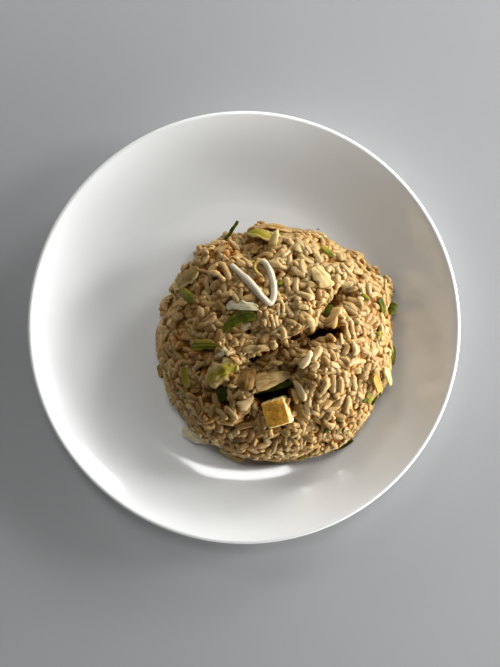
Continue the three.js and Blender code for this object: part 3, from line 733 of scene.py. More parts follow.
def grain_templates(rng, how_many=24):
    """Cooked grains about one unit in radius, lying along X.

    Gives their vertices, how near each lies to the thin edge, and the faces they share.
    """
    shapes, rims = [], []
    for _ in range(how_many):
        bm = bmesh.new()
        bmesh.ops.create_uvsphere(bm, u_segments=8, v_segments=7, radius=1)
        bmesh.ops.rotate(bm, verts=bm.verts, matrix=Matrix.Rotation(math.pi / 2, 3, "Y"))
        points, faces = points_of(bm), faces_of(bm)
        bm.free()
        x = points[:, 0]
        angle = np.arctan2(points[:, 2], points[:, 1])
        around = np.maximum(np.hypot(points[:, 1], points[:, 2]), 1e-6)
        x = np.sign(x) * np.abs(x) ** 0.8
        points[:, 0] = x
        blunt = np.where(x > 0, rng.uniform(3.2, 8.0), rng.uniform(3.2, 8.0))
        profile = np.clip(1 - np.abs(x) ** blunt, 0, 1) ** (1 / 2.4)
        turned = np.angle(np.exp(1j * (angle - rng.uniform(-3, 3))))
        groove = 1 - rng.uniform(0.05, 0.22) * np.exp(-((turned / 0.6) ** 2))
        swell = 1 + rng.uniform(-0.2, 0.2) * x + rng.uniform(-0.1, 0.1) * np.cos(3 * x + rng.uniform(0, 6))
        lumps = 1 + 0.07 * np.sin(2 * angle + 3 * x + rng.uniform(0, 6)) + rng.normal(0, 0.05, len(x))
        radial = profile * groove * swell * lumps / around
        radial[around < 1e-3] = 0
        points[:, 1:] *= radial[:, None]
        points[:, 2] *= rng.uniform(0.68, 0.95)
        slant = rng.uniform(-0.3, 0.3, 2)
        points[:, 0] += np.where(x > 0, slant[0], slant[1]) * points[:, 1] * np.abs(x)
        rims.append(np.clip(np.abs(points[:, 1]) ** 2 + 0.8 * np.abs(x) ** 5, 0, 1))
        points[:, 1] += rng.uniform(-0.35, 0.35) * x * x
        shapes.append(points)
    return np.array(shapes), np.array(rims), faces


def copies_of(shapes, which, centres, frames, sizes):
    """Vertices of many copies of a few shapes, one row of vertices for each copy."""
    points = shapes[which] * sizes[:, None, :]
    return np.einsum("nvk,nkj->nvj", points, frames) + centres[:, None, :]


def mesh_of_copies(name, points, faces, material, marks):
    """One mesh of copies that share their faces. Marks are values for each vertex, kept as attributes."""
    copies, per_copy = points.shape[:2]
    loops = np.concatenate([np.array(face) for face in faces])
    totals = np.tile([len(face) for face in faces], copies)
    all_loops = (loops[None, :] + (np.arange(copies) * per_copy)[:, None]).ravel()
    mesh = bpy.data.meshes.new(name)
    mesh.vertices.add(copies * per_copy)
    mesh.vertices.foreach_set("co", (points * MM).astype(np.float32).ravel())
    mesh.loops.add(len(all_loops))
    mesh.loops.foreach_set("vertex_index", all_loops.astype(np.int32))
    mesh.polygons.add(len(totals))
    mesh.polygons.foreach_set("loop_start", (np.cumsum(totals) - totals).astype(np.int32))
    mesh.polygons.foreach_set("loop_total", totals.astype(np.int32))
    mesh.polygons.foreach_set("use_smooth", np.ones(len(totals), dtype=bool))
    mesh.update()
    mesh.validate()
    for title, values in marks.items():
        add_attribute(mesh, title, np.broadcast_to(values, (copies, per_copy)).ravel())
    mesh.materials.append(material)
    return in_scene(name, mesh)


def near_pairs(points, others, reach):
    """Index pairs of a point and an other that lie in the same or in touching cells of a grid."""
    low = np.minimum(points.min(axis=0), others.min(axis=0)) - 2 * reach
    cells = np.floor((points - low) / reach).astype(np.int64)
    other_cells = np.floor((others - low) / reach).astype(np.int64)
    spans = np.maximum(cells.max(axis=0), other_cells.max(axis=0)) + 3
    key = (cells[:, 0] * spans[1] + cells[:, 1]) * spans[2] + cells[:, 2]
    other_key = (other_cells[:, 0] * spans[1] + other_cells[:, 1]) * spans[2] + other_cells[:, 2]
    order = np.argsort(other_key, kind="stable")
    ranked = other_key[order]
    firsts, seconds = [], []
    for dx in (-1, 0, 1):
        for dy in (-1, 0, 1):
            column = key + (dx * spans[1] + dy) * spans[2]
            start = np.searchsorted(ranked, column - 1, "left")
            many = np.searchsorted(ranked, column + 1, "right") - start
            within = np.arange(many.sum()) - np.repeat(np.cumsum(many) - many, many)
            firsts.append(np.repeat(np.arange(len(points)), many))
            seconds.append(order[np.repeat(start, many) + within])
    return np.concatenate(firsts), np.concatenate(seconds)


def close_pairs(points, others, reach):
    """Index pairs of a point and an other that are nearer to each other than the reach."""
    first, second = near_pairs(points, others, reach)
    near = np.sum((points[first] - others[second]) ** 2, axis=1) < reach * reach
    return first[near], second[near]


def thinned(points, pitch):
    """One point for each cell of a grid that has any."""
    cells = np.round(points / pitch).astype(int)
    return points[np.sort(np.unique(cells, axis=0, return_index=True)[1])]


def summed(index, values, size):
    return np.stack([np.bincount(index, values[:, k], size) for k in range(3)], axis=1)


def pushed_off(beads, radius, others, other_radius, pairs, share):
    """How far each bead moves to come off the others, from the index pairs that may touch."""
    first, second = pairs
    gap = beads[first] - others[second]
    distance = np.maximum(np.linalg.norm(gap, axis=1), 1e-6)
    overlap = radius[first] + other_radius[second] - distance
    touching = overlap > 0
    first, second = first[touching], second[touching]
    push = gap[touching] * (share * overlap[touching] / distance[touching])[:, None]
    hits = np.maximum(np.bincount(first, minlength=len(beads)), 1)
    return summed(first, push, len(beads)) / np.sqrt(hits)[:, None]


def buried(beads, others, radius):
    """Which beads hold one of the other points well inside them."""
    bead, other = near_pairs(beads, others, radius.max())
    inside = np.linalg.norm(beads[bead] - others[other], axis=1) < 0.5 * radius[bead]
    return np.bincount(bead[inside], minlength=len(beads)) > 0


def on_heap(spots, sink=0.0):
    """Points on the grains' surface over places given from the heap's axis, sunk by some depth."""
    spots = np.asarray(spots, dtype=float)
    rise = np.full(len(spots), HEAP_HEIGHT)
    for _ in range(14):
        reach = moulded_reach(unit(np.column_stack([spots, rise])))
        rise = 0.5 * rise + 0.5 * np.sqrt(np.maximum(reach**2 - np.sum(spots**2, axis=1), 1.0))
    direction = unit(np.column_stack([spots, rise]))
    return HEAP_MIDDLE + direction * (moulded_reach(direction) - sink)[:, None]


def topping_points():
    """Points all over the toppings, in millimetres."""
    points = []
    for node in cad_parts:
        if node in ("plate", "rice_mound"):
            continue
        bm = merged_copy(node)
        longest = max(edge.calc_length() for edge in bm.edges) / MM
        cuts = min(max(round(longest / POINT_PITCH), 1), 6)
        bmesh.ops.subdivide_edges(bm, edges=bm.edges, cuts=cuts, use_grid_fill=True)
        points += [vert.co / MM for vert in bm.verts]
        bm.free()
    return np.array(points)


def columns_over(points):
    """Points outward of and above the given ones, which keep what lies there uncovered."""
    outward = unit(points - HEAP_MIDDLE)
    upward = np.array([0.0, 0.0, 1.0])
    columns = np.concatenate([points + rise * way for way in (outward, upward) for rise in CLEARED])
    return thinned(columns, 1.0)


def shown_places():
    """Middles and axes of the grains that catch the eye, and points along their tops."""
    table = np.array(SHOWN_GRAINS)
    centre = on_heap(table[:, :2], 0.4 * table[:, 4] - SHOWN_RISE)
    normal = heap_normal(unit(centre - HEAP_MIDDLE), 0.09)
    axis = along_surface(table[:, 2], normal)
    tops = [centre + normal + share * table[:, 3:4] * axis for share in (-0.3, 0.0, 0.3)]
    return centre, axis, np.concatenate(tops)


def crack_points():
    """Balls that keep the cracks and the gaps free of grains: their middles and radii."""
    spots, sinks, radii = [], [], []
    for line, half_width, depth in CRACKS:
        for (ax, ay), (bx, by) in zip(line, line[1:]):
            for t in np.arange(0, 1, 1.0 / math.hypot(bx - ax, by - ay)):
                for sink in np.arange(-1.5, depth, 1.3):
                    spots.append((ax + t * (bx - ax), ay + t * (by - ay)))
                    sinks.append(sink)
                    radii.append(half_width)
    for x, y, radius in GAPS:
        for sink in (-0.5, 1.0, 2.5):
            spots.append((x, y))
            sinks.append(sink)
            radii.append(radius)
    points = on_heap(spots, np.array(sinks))
    return points, np.array(radii) * (1 + CRACK_RAGGED * ripple(points, CRACK_PITCH, 51))


def beads_of(centre, axis, spots):
    """The rows of beads that stand for the grains, one bead after the other."""
    return (centre[:, None, :] + axis[:, None, :] * spots[:, :, None]).reshape(-1, 3)


def pack_grains(settings, toppings, rng):
    """Places of the grains: they are strewn in a shell under the heap's surface and pushed apart.

    The first ones are those that catch the eye, which stay where they are.
    """
    total = settings.grains
    shell = settings.shell / MM
    direction = spiral(rng.permutation(total), total)
    normal = heap_normal(direction)
    depth = shell * rng.uniform(*STREWN_DEPTH, total)
    centre = HEAP_MIDDLE + direction * (moulded_reach(direction) - depth)[:, None]
    loose = looseness(direction)
    axis = rng.normal(size=(total, 3))
    steepest = STEEPEST + STEEPER * loose
    axis = laid_down(unit(axis), normal, steepest)
    long = settings.grain_length / MM * np.clip(rng.normal(1, 0.11, total), 0.7, 1.22)
    wide = settings.grain_width / MM * np.clip(rng.normal(1, 0.08, total), 0.82, 1.18)
    short = rng.random(total) < settings.broken
    long[short] *= rng.uniform(0.5, BROKEN_BELOW, short.sum())
    shown = len(SHOWN_GRAINS)
    shown_centre, shown_axis, shown_tops = shown_places()
    centre[:shown], axis[:shown] = shown_centre, shown_axis
    long[:shown], wide[:shown] = np.array(SHOWN_GRAINS)[:, 3:5].T - STICKING
    radius = np.repeat(0.5 * wide, BEADS)
    spots = np.linspace(-0.5, 0.5, BEADS)[None, :] * (long - wide)[:, None]
    owner = np.repeat(np.arange(total), BEADS)
    proud = np.repeat(rng.normal(0, PROUD_SPREAD, total) + PRESSED_PROUD * (1 - loose), BEADS)
    cracks, crack_radii = crack_points()
    columns = columns_over(np.concatenate([toppings, shown_tops]))
    covers = np.concatenate([thinned(toppings, 1.0), columns])
    skins = np.full(len(covers), -OVERLAP)
    skins[: len(covers) - len(columns)] = TOPPING_SKIN
    obstacles = np.concatenate([covers, cracks])
    obstacle_radii = np.concatenate([skins, crack_radii])
    close = CLOSENESS * radius
    for step in range(settings.rounds):
        beads = beads_of(centre, axis, spots)
        if step % PAIRS_LAST == 0:
            first, second = close_pairs(beads, beads, 2 * close.max() + DRIFT)
            apart = owner[first] != owner[second]
            others = first[apart], second[apart]
            over = close_pairs(beads, covers, radius.max() + TOPPING_SKIN + DRIFT)
            into = close_pairs(beads, cracks, radius.max() + crack_radii.max() + DRIFT)
            walls = np.concatenate([over[0], into[0]]), np.concatenate([over[1], into[1] + len(covers)])
            facing = slope_facing(beads)
        beads = beads + pushed_off(beads, close, beads, close, others, 0.5)
        beads = beads + pushed_off(beads, radius, obstacles, obstacle_radii, walls, 1.0)
        beads = kept_in_heap(beads, radius / facing, radius, proud, shell)
        rows = beads.reshape(total, BEADS, 3)
        centre = rows.mean(axis=1)
        axis = laid_down(unit(rows[:, -1] - rows[:, 0]), normal, steepest)
        centre[:shown], axis[:shown] = shown_centre, shown_axis
    covering = buried(rows.reshape(-1, 3), columns, radius).reshape(total, BEADS).any(axis=1)
    kept = ~covering | (np.arange(total) < shown)
    return centre[kept], axis[kept], long[kept], wide[kept], spots[kept]


def side_shading(direction):
    """How much browner or paler the grains are on each side of the heap."""
    places = np.array(SHADED_SIDES)
    away = np.degrees(np.arccos(np.clip(direction @ on_sphere(places[:, :2]).T, -1, 1)))
    return np.exp(-((away / places[:, 2]) ** 2)) @ places[:, 3]


def laid_down(axis, normal, steepest):
    """Turns axes that stand more steeply on the surface than they may."""
    rise = np.sum(axis * normal, axis=1)
    allowed = np.clip(rise, -steepest, steepest)
    flat = unit(axis - rise[:, None] * normal)
    return flat * np.sqrt(1 - allowed**2)[:, None] + normal * allowed[:, None]


def slope_facing(beads):
    """How squarely the heap's surface over each bead faces away from the heap's middle."""
    direction = unit(beads - HEAP_MIDDLE)
    return np.clip(np.sum(heap_normal(lifted(direction)) * direction, axis=1), 0.55, 1)


def kept_in_heap(beads, inset, radius, proud, shell):
    """Holds beads between the heap's surface and its core, and on top of the plate."""
    away = beads - HEAP_MIDDLE
    distance = np.linalg.norm(away, axis=1)
    direction = away / distance[:, None]
    outer = moulded_reach(lifted(direction)) + proud - inset
    beads = HEAP_MIDDLE + direction * np.clip(distance, outer - shell, outer)[:, None]
    beads[:, 2] = np.maximum(beads[:, 2], plate_under(beads) + radius + 0.1)
    return beads


def standing_frames(axis, outward, rng, wobble=0.5):
    """Turns for long copies: X along each axis, Z roughly outward."""
    along = unit(axis)
    lean = outward + wobble * rng.normal(size=outward.shape)
    across = unit(np.cross(lean, along))
    return np.stack([along, across, np.cross(along, across)], axis=1)


def stuck_together(points, centre, axis, long, wide, spots):
    """Swells grains where they nearly touch, and flattens them where the bowl's wall was.

    Gives the new vertices, how deep in a crevice each lies and how deep under the surface.
    """
    total, per_copy = points.shape[:2]
    flat = points.reshape(-1, 3)
    owner = np.repeat(np.arange(total), per_copy)
    beads = beads_of(centre, axis, spots)
    bead_owner = np.repeat(np.arange(total), BEADS)
    radius = np.repeat(0.5 * wide, BEADS)
    vertex, bead = near_pairs(flat, beads, radius.max() + NEIGHBOUR_REACH)
    other = owner[vertex] != bead_owner[bead]
    vertex, bead = vertex[other], bead[other]
    gap = np.linalg.norm(flat[vertex] - beads[bead], axis=1) - SKIN_SHARE * radius[bead]
    nearest = np.full(len(flat), FAR_OFF)
    np.minimum.at(nearest, vertex, gap)
    middle, along = centre[owner], axis[owner]
    reach = np.sum((flat - middle) * along, axis=1)
    half = 0.5 * (long - wide)[owner]
    outward = unit(flat - middle - along * np.clip(reach, -half, half)[:, None])
    swell = 0.5 * STICKING * np.exp(-((nearest / SWELL_REACH) ** 2))
    swell += 0.2 * ripple(flat, 3.4, 31) + 0.12 * ripple(flat, 1.8, 32)
    flat = flat + outward * swell[:, None]
    away = flat - HEAP_MIDDLE
    distance = np.linalg.norm(away, axis=1)
    direction = away / distance[:, None]
    upward = lifted(direction)
    limit = moulded_reach(upward)
    over = np.maximum(distance - limit + FLATTENED_WITHIN, 0)
    pressed = 0.3 + 0.5 * (1 - looseness(upward))
    eased = FLATTENED_WITHIN * (1 - np.exp(-over / FLATTENED_WITHIN))
    distance = distance - pressed * (over - eased)
    flat = HEAP_MIDDLE + direction * distance[:, None]
    flat[:, 2] = np.maximum(flat[:, 2], plate_under(flat) + 0.05)
    crevice = np.exp(-np.maximum(nearest, 0) / CREVICE_REACH)
    depth = np.clip((limit - distance - SAUCE_AND_SHADE_FROM) / SAUCE_AND_SHADE_SPAN, 0, 1)
    shape = (total, per_copy)
    return flat.reshape(points.shape), crevice.reshape(shape), depth.reshape(shape)


BROWNED_TINT = (0.92, 0.74, 0.50)
BLEACHED = (0.80, 0.68, 0.45)


def rice_material(settings):
    """Grains with paler, thinner rims, browned by sauce where they lie deep or touch."""
    material, tree, shader = new_material("fried_rice")
    bias = remapped(tree, attribute(tree, "tint"), 0.0, 1.0, -0.34, 0.34)
    flesh = mottled(tree, scale=420.0, contrast=0.22, light=settings.pale, dark=settings.brown, bias=bias)
    browned = remapped(tree, noise(tree, scale=60.0, detail=2.0), 0.45, 0.65, 0.0, 0.8)
    flesh = mixed(tree, browned, flesh, BROWNED_TINT, "MULTIPLY")
    # Painted light: thin rims are made paler, for light shining through the grain's edge.
    thin = math_node(tree, "MULTIPLY", attribute(tree, "rim"), 0.6)
    flesh = mixed(tree, thin, flesh, tuple(1.25 * c + 0.01 for c in settings.pale))
    bleached = math_node(tree, "MULTIPLY", attribute(tree, "tint"), -1.0, clamp=True)
    flesh = mixed(tree, bleached, flesh, BLEACHED)
    # Painted shade, with brown sauce: grains darken where they touch and where they lie deep.
    crevice = math_node(tree, "POWER", attribute(tree, "crevice"), 2.0)
    sunk = math_node(tree, "MULTIPLY_ADD", crevice, 0.5, attribute(tree, "depth"))
    flesh = mixed(tree, remapped(tree, sunk, 0.15, 0.65), flesh, settings.soaked_and_shaded)
    flesh = mixed(tree, remapped(tree, sunk, 0.5, 1.0), flesh, settings.sauce)
    moist = grouped(tree, moist_group, {"Scale": 260.0, "Wet": 0.3, "Dry": 0.65})
    feed(tree, shader, {
        "Base Color": flesh, "Roughness": remapped(tree, sunk, 0.1, 0.5, moist.outputs["Roughness"], 0.95),
        "Specular IOR Level": 0.17, "Coat Weight": 0.32, "Coat Roughness": 0.1,
    })
    set_bump(tree, shader, moist.outputs["Height"], distance=0.00028, strength=0.9)
    set_flesh(tree, shader, weight=1.0, reach=0.0022, tint=(1.0, 0.85, 0.6))
    return material


def core_material(settings):
    material, tree, shader = new_material("rice_inside")
    # Partly painted shade: the core, seen only between grains, is darker than they are, and nearly black
    # under the cracks.
    browned = scaled(settings.brown, 0.7)
    flesh = mottled(tree, scale=500.0, contrast=0.2, light=browned, dark=settings.sauce)
    flesh = mixed(tree, attribute(tree, "depth"), flesh, scaled(settings.sauce, 0.05))
    feed(tree, shader, {"Base Color": flesh, "Specular IOR Level": 0.08})
    set_moist(tree, shader, scale=300.0, wet=0.5, dry=0.8, distance=0.0006, strength=0.9)
    return material


def crack_depth(x, y):
    """How far the core lies deeper under the cracks and gaps."""
    deep = np.zeros(x.shape)
    for line, half_width, depth in CRACKS + CORE_POCKETS:
        fade = smoothstep(distance_to_line(x, y, line), 0.6 * half_width, 2.2 * half_width)
        deep = np.maximum(deep, depth * (1 - fade))
    for gap_x, gap_y, radius in GAPS:
        fade = smoothstep(np.hypot(x - gap_x, y - gap_y), 0.5 * radius, 2 * radius)
        deep = np.maximum(deep, GAP_DEPTH * (1 - fade))
    return deep


def rice_core(settings):
    """The packed inside of the heap, seen only between grains. Its relief is as coarse as broken rice."""
    bm = bmesh.new()
    bmesh.ops.create_icosphere(bm, subdivisions=6, radius=1)
    direction = points_of(bm)
    upper = lifted(direction)
    upper[direction[:, 2] < -0.99999] = (1, 0, 0)
    reach = moulded_reach(upper)
    flat = upper * reach[:, None]
    sunk = 2.3 + 0.7 * looseness(upper) + 0.7 * ripple(flat, 9.0, 41) + 0.45 * ripple(flat, 2.8, 3)
    crack = crack_depth(flat[:, 0], flat[:, 1])
    sunk += 0.9 * crack
    points = HEAP_MIDDLE + upper * (reach - sunk)[:, None]
    under = direction[:, 2] < 0
    shrink = np.hypot(direction[under, 0], direction[under, 1])[:, None]
    points[under, :2] = HEAP_MIDDLE[:2] + (points[under, :2] - HEAP_MIDDLE[:2]) * shrink
    floor = plate_under(points) + 0.3
    points[:, 2] = np.maximum(points[:, 2], floor)
    points[under, 2] = floor[under]
    move_to(bm, points)
    core = object_from("rice_core", bm, core_material(settings))
    # depth: painted shade that turns the core nearly black under the cracks and gaps
    add_attribute(core.data, "depth", np.clip(crack / 2, 0, 1))
    return core


class FRIEDRICE_OT_rice(bpy.types.Operator):
    """Makes the heap: packed grains, crumbs between them and the core"""

    bl_idname = "fried_rice.make_rice"
    bl_label = "Make rice"

    def execute(self, context):
        settings = context.scene.dish.rice
        rng = np.random.default_rng(settings.seed)
        shapes, rims, faces = grain_templates(rng)
        material = rice_material(settings)
        toppings = topping_points()
        centre, axis, long, wide, spots = pack_grains(settings, toppings, rng)
        total = len(centre)
        sizes = 0.5 * np.stack([long, wide, wide], axis=1)
        away = lifted(unit(centre - HEAP_MIDDLE))
        frames = standing_frames(axis, heap_normal(away), rng)
        which = rng.integers(0, len(shapes), total)
        points = copies_of(shapes, which, centre, frames, sizes)
        points, crevice, depth = stuck_together(points, centre, axis, long, wide, spots)
        # rim: where each grain gets painted light on its thin edge
        rim = rims[which]
        # Each grain's random tint gets the painted shade and light of its side of the heap.
        tint = np.clip(rng.normal(0.5, 0.28, total) + side_shading(away), 0, 1)[:, None]
        tint[: len(SHOWN_GRAINS), 0] = np.array(SHOWN_GRAINS)[:, 5]
        broken = long < BROKEN_BELOW * settings.grain_length / MM
        pale = tint[:, 0] < 0.45
        for name, chosen in (
            ("rice_grains_pale", ~broken & pale), ("rice_grains_browned", ~broken & ~pale),
            ("rice_grains_broken", broken),
        ):
            marks = {
                title: values[chosen]
                for title, values in (("tint", tint), ("crevice", crevice), ("depth", depth), ("rim", rim))
            }
            piece = mesh_of_copies(name, points[chosen], faces, material, marks)
            dress(piece, "fried_rice", "rice_mound")
        dress(self.crumbs(settings, toppings, shapes, faces, material, rng), "fried_rice", "rice_mound")
        dress(rice_core(settings), "fried_rice", "rice_mound")
        return {"FINISHED"}

    def crumbs(self, settings, toppings, shapes, faces, material, rng):
        """Bits of starch and broken grain, strewn just under the surface."""
        total = settings.crumbs
        height = rng.uniform(0.02, 1, total)
        direction = directions(rng.uniform(0, 2 * math.pi, total), height)
        centre = HEAP_MIDDLE + direction * (moulded_reach(direction) - rng.uniform(0.6, 2.4, total))[:, None]
        centre[:, 2] = np.maximum(centre[:, 2], plate_under(centre) + 0.8)
        wide = rng.uniform(0.5, 1.0, total)
        sizes = np.stack([wide * rng.uniform(1.0, 1.8, total), wide, wide], axis=1)
        frames = standing_frames(rng.normal(size=(total, 3)), direction, rng)
        points = copies_of(shapes, rng.integers(0, len(shapes), total), centre, frames, sizes)
        tint = 0.6 * rng.random((total, 1))
        clear = ~buried(centre, np.concatenate([toppings, columns_over(toppings)]), np.full(total, 5.0))
        points, tint = points[clear], tint[clear]
        # The rim mark paints a little light on every crumb.
        marks = {"tint": tint, "crevice": 0.2, "depth": 0.05, "rim": 0.3}
        return mesh_of_copies("rice_crumbs", points, faces, material, marks)


# ---- Leaves, onion and egg ----

# The onion's brown is darker than the others, as painted shade on the onion piece at the heap's shaded left.
LEAF_BROWNS = {"cabbage": (0.26, 0.14, 0.035), "onion": (0.19, 0.12, 0.018), "scallion": (0.26, 0.16, 0.04)}
EGG_BROWNED = (0.22, 0.10, 0.02)
EGG_PALE = (0.82, 0.66, 0.33)

# How each thin piece is cut and cooked. Start is its end towards -X, or -Y on a piece that lies upright.
# shade: 0 is cream, 0.4 pale green, 0.8 dark green, below 0 browned, and below -0.35 painted shade; at
# the start, the end, the edges and, where it differs, the edge away from the heap's foot.
# square: how bluntly each end is cut, from 2, round, to 9, straight. taper: width lost towards the end.
# wide, long: more than its solid's size. slant: how far the end lies to the side, in half widths.
# proud: how far it stands off its solid. lift: how far its start hangs out of the heap.
# whitish: a piece from the white heart of the plant.
SHEETS = {
    "cabbage_stem": {"slot": "cabbage", "shade": (-0.3, -0.06, -0.2), "square": (7, 3), "taper": 0.66,
                     "ribs": 4.5, "rib_height": 0.2, "wave": 0.3, "curl": 0.3, "thick": 1.3, "slant": 0.32},
    # The fold's shade below -0.35 is painted shade, for the shadow it lies in.
    "cabbage_fold": {"slot": "cabbage", "shade": (-0.6, -0.5, -0.3), "square": (5, 4), "ribs": 2.0,
                     "rib_height": 0.1, "wave": 0.4, "curl": 0.1, "ragged": 0.2, "thick": 1.2},
    "cabbage_leaf": {"slot": "cabbage", "shade": (0.3, 0.45, -0.35), "square": (3, 5), "ribs": 4.5,
                     "rib_height": 0.45, "wave": 1.1, "curl": 1.2, "ragged": 0.3, "wide": 1.15},
    "cabbage_top": {"slot": "cabbage", "shade": (0.6, 0.4, -0.15), "square": (2.0, 4), "ribs": 2.5,
                    "rib_height": 0.35, "wave": 0.6, "curl": 0.4, "ragged": 0.2},
    "cabbage_low_left": {"slot": "cabbage", "shade": (0.0, -0.16, 0.05), "square": (1.1, 4), "ribs": 3.0,
                         "rib_height": 0.4, "wave": 0.6, "curl": 0.5, "ragged": 0.14, "whitish": True},
    "leaf_top_brown": {"slot": "cabbage", "shade": (-0.3, -0.25, -0.3, 0.5), "square": (5, 4), "ribs": 3.0,
                       "rib_height": 0.15, "wave": 0.6, "curl": 0.5},
    "onion_left": {"slot": "onion", "shade": (-0.3, -0.4, -0.1), "square": (4, 5), "ribs": 4.0,
                   "rib_height": 0.1, "wave": 0.6, "curl": 0.8, "ragged": 0.14},
    "onion_square": {"slot": "onion", "shade": (-0.12, 0.0, 0.02), "square": (7, 6), "ribs": 2.0,
                     "rib_height": 0.22, "wave": 0.45, "curl": 0.4, "ragged": 0.12},
    "green_leaf_slot": {"slot": "scallion", "shade": (0.75, 0.85, 0.9), "square": (3, 3)},
    "scallion_bow": {"slot": "scallion", "shade": (0.75, 0.9, 0.75), "square": (2.2, 5), "wide": 1.6},
    "scallion_pale": {"slot": "scallion", "shade": (-0.08, 0.14, 0.1), "square": (4, 4), "ragged": 0.25,
                      "wave": 0.8, "wide": 1.2, "whitish": True},
    "scallion_left": {"slot": "scallion", "shade": (0.75, 0.6, 0.25), "square": (5, 3), "cup": 0.4,
                      "ribs": 2.5, "rib_height": 0.3, "wave": 0.6, "wide": 1.2, "long": 1.15, "ragged": 0.15},
    "scallion_low_left": {"slot": "scallion", "shade": (0.4, 0.6, 0.25), "square": (3, 5), "cup": 0.5},
    "scallion_dark": {"slot": "scallion", "shade": (1.0, 0.95, 1.0), "square": (6, 6), "cup": 0.5},
    "scallion_sliver": {"slot": "scallion", "shade": (0.95, 0.75, 0.9), "square": (2.5, 3)},
    "scallion_rim_left": {"slot": "scallion", "shade": (0.55, 0.8, 0.55), "square": (2.5, 5), "cup": 0.3,
                          "wide": 1.2, "long": 1.3},
    "scallion_chip": {"slot": "scallion", "shade": (0.4, 0.95, 0.5), "square": (4, 4), "cup": 0.5},
    "scallion_crack": {"slot": "scallion", "shade": (0.9, 0.8, 0.9), "square": (4, 5), "cup": 0.3},
    "scallion_right": {"slot": "scallion", "shade": (0.95, 0.9, 0.55), "square": (4, 4)},
    "scallion_edge_right": {"slot": "scallion", "shade": (0.7, 0.6, 0.6), "square": (4, 4)},
    "scallion_low_right_1": {"slot": "scallion", "shade": (0.65, 0.45, 0.3), "square": (3, 4)},
    "scallion_low_right_2": {"slot": "scallion", "shade": (1.0, 0.95, 1.0), "square": (4, 4)},
    "scallion_low": {"slot": "scallion", "shade": (0.9, 0.85, 0.4), "square": (3, 3)},
    "egg_shred_right_1": {"slot": "fried_egg", "square": (3, 4), "wave": 0.4, "thick": 1.3, "proud": 0.4,
                          "lift": 1.8},
    "egg_shred_right_2": {"slot": "fried_egg", "shade": (0.2, 0.8, 0.6), "square": (3, 4), "wave": 0.4,
                          "thick": 1.3, "proud": 0.4, "lift": 2.0},
    # The strip's pale shade is painted light, lifting it where it lies in the heap's shade.
    "egg_strip": {"slot": "fried_egg", "shade": (0.7, 0.5, 0.1), "square": (5, 5), "wave": 0.4, "thick": 1.3,
                  "wide": 1.15, "proud": 1.1},
    "egg_chip_left": {"slot": "fried_egg", "shade": (-0.5, -0.5, -0.7), "square": (5, 5), "wave": 0.3,
                      "thick": 1.0},
}
PLAIN_SHEET = {
    "shade": (0, 0, 0), "taper": 0.0, "ribs": 4.0, "rib_height": 0.12, "wave": 0.3, "curl": 0.15, "cup": 0.0,
    "thick": 0.8, "ragged": 0.06, "wide": 1.0, "long": 1.0, "slant": 0.0, "proud": 0.0, "lift": 0.0,
}


def leaf_material(name, settings, brown, cream):
    """Cooked leaf: brown through cream to green by the shade attribute, with fibres along the piece."""
    material, tree, shader = new_material(f"cooked_{name}")
    fibres = grouped(tree, fibre_group, {"Fibres": 5.0, "Length": 1.3})
    shade = math_node(tree, "MULTIPLY_ADD", fibres.outputs["Mask"], 0.2, attribute(tree, "shade"))
    shade = math_node(tree, "MULTIPLY_ADD", noise(tree, scale=350.0, detail=3.0), 0.5, shade)
    shade = math_node(tree, "SUBTRACT", shade, 0.35)
    # Below -0.35 the skin goes on to 0.45 of the brown: painted shade, on the cabbage fold and the onion.
    skin = scaled(brown, 0.45)
    for low, high, next_colour in (
        (-0.7, -0.35, brown), (-0.35, 0.0, cream), (0.0, 0.4, settings.pale_green),
        (0.4, 0.8, settings.green), (0.75, 1.05, scaled(settings.green, 0.3)),
    ):
        skin = mixed(tree, remapped(tree, shade, low, high), skin, next_colour)
    feed(tree, shader, {"Base Color": skin, "Specular IOR Level": 0.1})
    height = fibres.outputs["Height"]
    set_moist(tree, shader, scale=220.0, wet=0.3, dry=0.65, distance=0.0003, strength=0.7, height=height)
    set_flesh(tree, shader, weight=0.4, reach=0.0015, tint=(0.9, 1.0, 0.3))
    return material


def egg_material(settings):
    material, tree, shader = new_material("fried_egg")
    skin = mottled(tree, scale=330.0, contrast=0.25, light=settings.egg, dark=scaled(settings.egg, 0.62))
    # Positive shade pales the egg: its own cream on one shred, painted light on the egg strip.
    for sign, cooked in ((-1.0, EGG_BROWNED), (1.0, EGG_PALE)):
        share = math_node(tree, "MULTIPLY", attribute(tree, "shade"), sign, clamp=True)
        skin = mixed(tree, share, skin, cooked)
    feed(tree, shader, {"Base Color": skin, "Specular IOR Level": 0.12})
    set_moist(tree, shader, scale=260.0, wet=0.25, dry=0.5, distance=0.0002, strength=0.8)
    set_flesh(tree, shader, weight=0.3, reach=0.0015)
    return material


def merged_points(node):
    """A CAD node's vertices in millimetres, each once."""
    bm = merged_copy(node)
    points = points_of(bm) / MM
    bm.free()
    return points


def own_axes(points, outward):
    """Middle of a thin piece and its axes: X along it towards +X or +Y, and Z out of the heap."""
    middle = 0.5 * (points.min(axis=0) + points.max(axis=0))
    along, _, out = np.linalg.svd(points - points.mean(axis=0), full_matrices=False)[2]
    out = out * np.sign(out @ outward)
    heading = 1.0 if abs(along[0]) > 0.35 * abs(along[1]) else 0.0
    along = along * np.sign(along[0] * heading + along[1] * (1 - heading) + 1e-9)
    return middle, np.array([along, np.cross(out, along), out])


